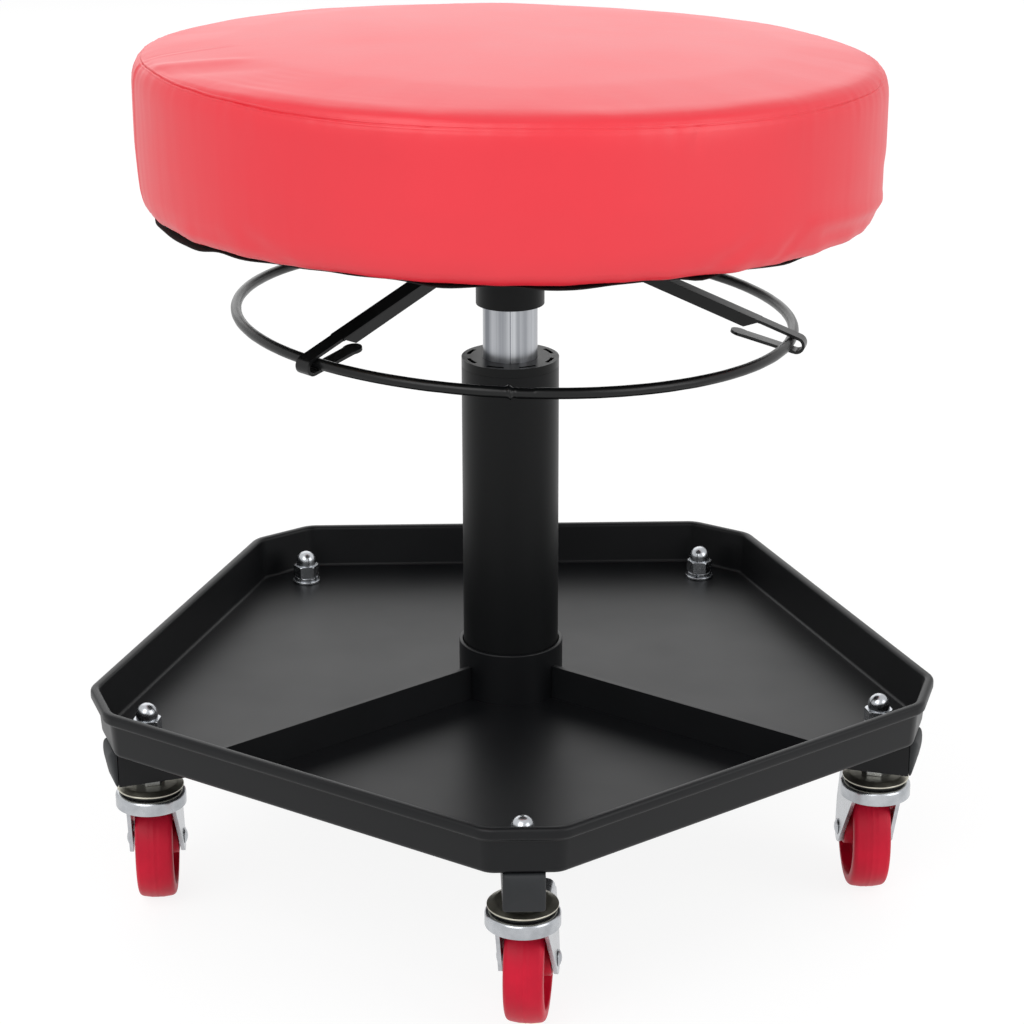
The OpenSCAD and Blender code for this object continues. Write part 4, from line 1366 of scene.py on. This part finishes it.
@dataclass
class ReleaseRing:
    """Dipped wire ring, butt welded at the front, that hangs a little to one side.

    Attributes:
        radius_mm: Radius of the wire's centre line.
        wire_mm: Radius of the wire.
        lean: Its lean in degrees, left side high.
        shift: How far it hangs to the right.
        weld_span: Angles before and after it that are drawn finer, in weld_steps steps.
        weld_gap: Least angle between those and the even rings.
        bead: Height, lean and width of the weld's bead.
        tear: The bead's unevenness, read on a circle of tear_circle.
        undercut: Depth, distance and width of the groove beside the bead.
        crush: Depth of the flat that the clamp left, and where it begins and ends.
        runs: Runs of the enamel along the wire.
    """

    radius_mm: float = 141.3
    wire_mm: float = 2.7
    lean: float = 2.4
    shift: float = 2.5
    segments: int = 300
    sides: int = 20
    weld_at: float = -92.7
    weld_span: Point = (-1.6, 6.8)
    weld_steps: int = 56
    weld_gap: float = 0.2
    bead: Corner = (0.7, 0.5, 1.1)
    tear: Ripple = Ripple(1 / 0.6, 1 / 0.6, 0.7)
    tear_circle: float = 1.1 / 0.6
    undercut: Corner = (0.3, 1.9, 0.9)
    crush: tuple[float, Point, Point] = (0.4, (2.5, 4.0), (10.5, 12.5))
    runs: Ripple = Ripple(9.0, math.inf, 0.08, 3.0)

    def build(self) -> None:
        """Draws the wire round, thicker and torn at its weld."""
        middle = sum(heights("release_ring")) / 2
        rings = [[self.place(a, side, middle) for side in range(self.sides)] for a in self.angles()]
        piece = skinned("wire_ring", rings, looped=True)
        sharpen(piece.data, 60.0)
        finished(piece, ENAMEL, "release_ring")

    def angles(self) -> list[float]:
        """Spaces the rings of the wire, closest together at the weld.

        Returns:
            Their angles in degrees.
        """
        start, end = self.weld_span
        shares = [s / self.weld_steps for s in range(self.weld_steps + 1)]
        fine = [self.weld_at + start + (end - start) * share for share in shares]
        even = [360 * j / self.segments - 180 for j in range(self.segments)]
        low, high = fine[0] - self.weld_gap, fine[-1] + self.weld_gap
        return sorted([a for a in even if a < low or a > high] + fine)

    def place(self, angle: float, side: int, middle: float) -> Vector:
        """Finds a point of the wire's skin.

        Args:
            angle: Its angle round the seat in degrees.
            side: Its number round the wire.
            middle: Height of the ring's middle.

        Returns:
            The point in millimetres.
        """
        around = TAU * side / self.sides
        off = angle_between(angle, self.weld_at) * math.radians(self.radius_mm)
        rough = Vector((off, *(polar(self.tear_circle, around, 0).xy)))
        (rise, slant, width), (fall, beside, slot) = self.bead, self.undercut
        bead = bell(off + slant * math.sin(around), width) * (rise + self.tear.at(rough))
        deep, begins, ends = self.crush
        flat = smooth_step(off, *begins) * (1 - smooth_step(off, *ends)) * deep
        wire = self.wire_mm + bead - fall * bell(off - beside, slot)
        wire -= flat * max(0.0, math.sin(around))
        wire += self.runs.at(Vector((off, around * self.runs.cell, 0)))
        reach = self.radius_mm + wire * math.cos(around)
        point = polar(reach, math.radians(angle), wire * math.sin(around))
        tilt = Matrix.Rotation(math.radians(self.lean), 3, "Y")
        return tilt @ point + Vector((self.shift, 0, middle))


@dataclass(frozen=True)
class CornerRing:
    """A flat turned ring that lies round the stem at each of the five corners.

    Attributes:
        node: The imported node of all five.
        under: Section from the bore outwards, as radius, height over its foot and corner radius.
        over: Section back to the bore, with its heights counted from its top.
    """

    name: str
    node: str
    finish: Finish
    under: tuple[Corner, ...]
    over: tuple[Corner, ...]
    steps: int = 3
    segments: int = 72

    def build(self, copies: RingOfCopies) -> None:
        """Turns one ring and repeats it at the corners.

        Args:
            copies: What repeats it.
        """
        bottom, top = heights(self.node)
        corners = [(r, bottom + z, edge) for r, z, edge in self.under]
        corners += [(r, top + z, edge) for r, z, edge in self.over]
        source = turned(self.node + "_source", rounded(corners, self.steps), self.segments)
        piece = copies.apply(self.name, source, self.finish, CORNERS, caster_circle(), FRONT)
        sharpen(piece.data, 45.0)
        finished(piece, self.finish, self.node)


# The caster tops are shallow domes that roll over to their rim
CORNER_RINGS = (
    CornerRing("top_plates", "caster_plates", PLATE_ZINC,
               ((4.1, 0, 0), (16.1, 0, 0.5), (17.1, 0.4, 0.4)),
               ((17.1, -1.5, 0.4), (13.7, -0.15, 5.0), (4.1, 0, 0)), 6, 96),
    CornerRing("flat_washers_turned", "flat_washers", ZINC,
               ((4.3, 0, 0), (8.0, 0, 0.35)), ((8.0, 0, 0.35), (4.3, 0, 0))),
    CornerRing("race_rings_turned", "race_rings", BUSH_PLASTIC,
               ((9.0, 0, 0), (15.5, 0, 0.6)), ((15.5, 0, 0.6), (9.0, 0, 0))),
)


@dataclass(frozen=True)
class LegCaps:
    """The five moulded end caps of the legs: pillows that lean in towards their foot.

    Attributes:
        side: Outer size of the square leg.
        plug: Half size of the part that fills the tube.
        plug_end: How far that part reaches in.
        bulge: How far the face stands out.
        squareness: How late the pillow falls off towards its edge.
        lean: How much less it stands out at its foot, as a share.
        lean_from: Height under the cap's middle from which it leans, less than zero above it.
        corner: Radius of the upright and level corners.
        wall: How far its sides run before they turn into the face.
        seat: Gap between the cap's rim and the end of the tube.
        rim: Share of the full size and height over the seat of the rim's two rings.
        spare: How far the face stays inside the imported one.
        shares: Where the face's rings lie, from its edge to its middle.
    """

    side: float = 20.0
    plug: float = 7.2
    plug_end: float = -8.0
    bulge: float = 4.4
    squareness: float = 4.5
    lean: float = 0.6
    lean_from: float = -4.0
    corner: float = 1.8
    wall: float = 1.8
    seat: float = 0.35
    rim: tuple[Point, Point] = ((0.99, 0.0), (1.0, 0.2))
    spare: float = 0.1
    shares: tuple[float, ...] = (1.0, 0.996, 0.985, 0.965, 0.94, 0.9, 0.83, 0.7, 0.56, 0.4, 0.2)

    def build(self, copies: RingOfCopies) -> None:
        """Lofts one cap and repeats it on the legs.

        Args:
            copies: What repeats it.
        """
        tip = -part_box("leg_caps")[0].y / MM - self.bulge - self.spare
        middle = sum(heights("leg_caps")) / 2
        half = self.side / 2
        quarters = ((-half, -half), (half, -half), (half, half), (-half, half))
        square = rounded([(*quarter, self.corner) for quarter in quarters], 6)
        fill = self.plug / half
        steps = [(fill, self.plug_end), (fill, self.seat)]
        steps += [(share, self.seat + rise) for share, rise in self.rim]
        steps += [(share, self.wall + self.swell(share)) for share in self.shares]
        place = Vector((tip, 0, middle))
        rings = [[place + self.off(y, z, *step) for y, z in square] for step in steps]
        source = skinned("leg_cap_source", rings, looped=False)
        sharpen(source.data, 50.0)
        piece = copies.apply("moulded_leg_caps", source, CAP_PLASTIC, CORNERS, 0.0, FRONT)
        finished(piece, CAP_PLASTIC, "leg_caps")

    def swell(self, share: float) -> float:
        """Gives how far the pillow stands out at a share of the way from its middle to its edge."""
        return (self.bulge - self.wall) * math.sqrt(1 - share**self.squareness)

    def off(self, y: float, z: float, share: float, out: float) -> Vector:
        """Finds a point of the cap, drawn in at its foot.

        Args:
            y: Its place across the full cap.
            z: Its place up the full cap.
            share: The share of those that its ring takes.
            out: How far its ring stands out.

        Returns:
            The point, from the middle of the tube's end.
        """
        low = smooth_step(-z * share, self.lean_from, self.side / 2)
        if out > self.seat:
            out = self.seat + (out - self.seat) * (1 - self.lean * low)
        return Vector((out, y * share, z * share))


@dataclass(frozen=True)
class BearingBalls:
    """The ten balls that the seat turns on, in their cage under the piston rod.

    Attributes:
        circle: Radius of the circle they run on.
        rows: Rows of faces from pole to pole.
    """

    count: int = 10
    circle: float = 9.0
    rows: int = 16
    segments: int = 24

    def build(self, copies: RingOfCopies) -> None:
        """Draws one ball and repeats it round the rod.

        Args:
            copies: What repeats it.
        """
        low, high = heights("bearing_balls")
        radius, middle = (high - low) / 2, (high + low) / 2
        around = [TAU * j / self.segments for j in range(self.segments)]
        rings = []
        for t in (math.pi * row / self.rows for row in range(1, self.rows)):
            height = middle - radius * math.cos(t)
            rings.append([polar(radius * math.sin(t), a, height) for a in around])
        source = skinned("ball_source", rings, looped=False)
        piece = copies.apply("race_balls", source, STEEL, self.count, self.circle, 0.0)
        sharpen(piece.data, 80.0)
        finished(piece, STEEL, "bearing_balls")


@dataclass
class Camera:
    """The photograph's view, fitted to the column, the nuts and the wheels.

    Attributes:
        place_mm: Where it stood, in the stool's frame.
        heading: How far it was turned to the right, in degrees.
        pitch: How far it looked down.
        roll: How far it leaned.
        lens: Its focal length in millimetres.
    """

    place_mm: Corner = (-36.4, -1329.7, 672.2)
    heading: float = 1.6
    pitch: float = 19.538
    roll: float = -0.105
    lens: float = 95.0
    sensor: float = 36.0

    def build(self) -> None:
        """Creates the camera and makes it the scene's."""
        data = bpy.data.cameras.new("camera")
        data.lens = self.lens
        data.sensor_width = self.sensor
        made = object_of("camera", data)
        turns = ((-self.heading, "Z"), (90 - self.pitch, "X"), (self.roll, "Z"))
        turn, tilt, roll = (Matrix.Rotation(math.radians(a), 4, axis) for a, axis in turns)
        made.matrix_world = Matrix.Translation(Vector(self.place_mm) * MM) @ turn @ tilt @ roll
        bpy.context.scene.camera = made


@dataclass(frozen=True)
class Lamp:
    """A soft square lamp that points at the middle of the stool.

    Attributes:
        place: Where it hangs, in metres.
        size: Its side in metres.
        aim: What it points at.
    """

    name: str
    place: Corner
    size: float
    watts: float
    aim: Corner = (0.0, 0.0, 0.25)

    def build(self) -> None:
        """Hangs the lamp."""
        data = bpy.data.lights.new(self.name, "AREA")
        data.size = self.size
        data.energy = self.watts
        made = object_of(self.name, data)
        made.location = self.place
        way = Vector(self.aim) - Vector(self.place)
        made.rotation_euler = way.to_track_quat("-Z", "Y").to_euler()


@dataclass
class Studio:
    """Pale floor, white surroundings and soft lamps.

    Attributes:
        floor_glow: How bright the floor shows itself.
        sky: Strength of the surroundings as a light.
    """

    floor_m: float = 14.0
    floor_glow: float = 0.88
    sky: float = 0.6
    lamps: tuple[Lamp, ...] = (
        Lamp("key", (-0.9, -1.55, 1.75), 1.6, 21.5),
        Lamp("fill", (1.8, -1.2, 1.2), 1.4, 14.0),
        Lamp("back", (-0.3, 2.3, 1.5), 2.6, 15.0),
    )

    def build(self) -> None:
        """Builds the floor, the world and the lamps."""
        self.build_floor()
        self.build_world()
        for lamp in self.lamps:
            lamp.build()

    def build_floor(self) -> None:
        """Adds a pale floor, white to the camera and in reflections, that keeps shadows."""
        half = self.floor_m / 2
        corners = [(-half, -half, 0), (half, -half, 0), (half, half, 0), (-half, half, 0)]
        mesh = bpy.data.meshes.new("floor")
        mesh.from_pydata(corners, [], [(0, 1, 2, 3)])
        made = bpy.data.materials.new("pale_floor")
        made.use_nodes = True
        tree = made.node_tree
        tree.nodes.clear()
        where = add(tree, "ShaderNodeTexCoord").outputs["Object"]
        cloud = add(tree, "ShaderNodeTexNoise", {"Vector": where, "Scale": 3.0}).outputs["Fac"]
        tints = {"Factor": cloud, "A": srgb("#f4f4f4"), "B": srgb("#f7f7f7")}
        tint = add(tree, "ShaderNodeMix", tints, data_type="RGBA").outputs["Result"]
        matte = add(tree, "ShaderNodeBsdfDiffuse", {"Color": tint}).outputs["BSDF"]
        faint = add(tree, "ShaderNodeBsdfDiffuse", {"Color": srgb("#707070")}).outputs["BSDF"]
        white = {"Color": srgb("#ffffff"), "Strength": self.floor_glow}
        glow = add(tree, "ShaderNodeEmission", white).outputs["Emission"]
        both = add(tree, "ShaderNodeAddShader", {0: faint, 1: glow}).outputs["Shader"]
        inputs = {"Fac": self.seen(tree), 1: matte, 2: both}
        mixed = add(tree, "ShaderNodeMixShader", inputs).outputs["Shader"]
        add(tree, "ShaderNodeOutputMaterial", {"Surface": mixed})
        mesh.materials.append(made)
        object_of("floor", mesh)

    def seen(self, tree: Tree) -> Socket:
        """Adds the test for rays that show the background.

        Args:
            tree: The node tree that asks.

        Returns:
            1 for rays that come from the camera, a reflection or a see-through surface.
        """
        path = add(tree, "ShaderNodeLightPath").outputs
        found = path["Is Camera Ray"]
        for kind in ("Is Glossy Ray", "Is Transmission Ray"):
            either = {0: found, 1: path[kind]}
            found = add(tree, "ShaderNodeMath", either, operation="MAXIMUM").outputs["Value"]
        return found

    def build_world(self) -> None:
        """Sets white surroundings, at a lower level for what lights the stool."""
        world = bpy.data.worlds.new("white_studio")
        bpy.context.scene.world = world
        world.use_nodes = True
        tree = world.node_tree
        tree.nodes.clear()
        levels = {"Value": self.seen(tree), "To Min": self.sky, "To Max": 1.0}
        level = add(tree, "ShaderNodeMapRange", levels).outputs["Result"]
        white = {"Color": srgb("#ffffff"), "Strength": level}
        glow = add(tree, "ShaderNodeBackground", white).outputs["Background"]
        add(tree, "ShaderNodeOutputWorld", {"Surface": glow})


def main() -> None:
    """Builds every piece in order and dresses it."""
    logging.basicConfig(level=logging.INFO, format="%(message)s")
    bpy.context.scene.view_settings.view_transform = "Standard"
    Camera().build()
    Studio().build()
    copies = RingOfCopies()
    Cushion().build()
    DustCover().build()
    Tray().build()
    ReleaseRing().build()
    BearingBalls().build(copies)
    LegCaps().build(copies)
    done = {"cushion", "dust_cover", "tool_tray", "release_ring", "bearing_balls", "leg_caps"}
    for ring in CORNER_RINGS:
        ring.build(copies)
        done.add(ring.node)
    for number in range(1, CORNERS + 1):
        Wheel(number).build()
        done.add(f"caster_wheel_{number}")
    for node in frame["nodes"]:
        if node not in done:
            DressedNode(node).build()


if __name__ == "__main__":
    main()
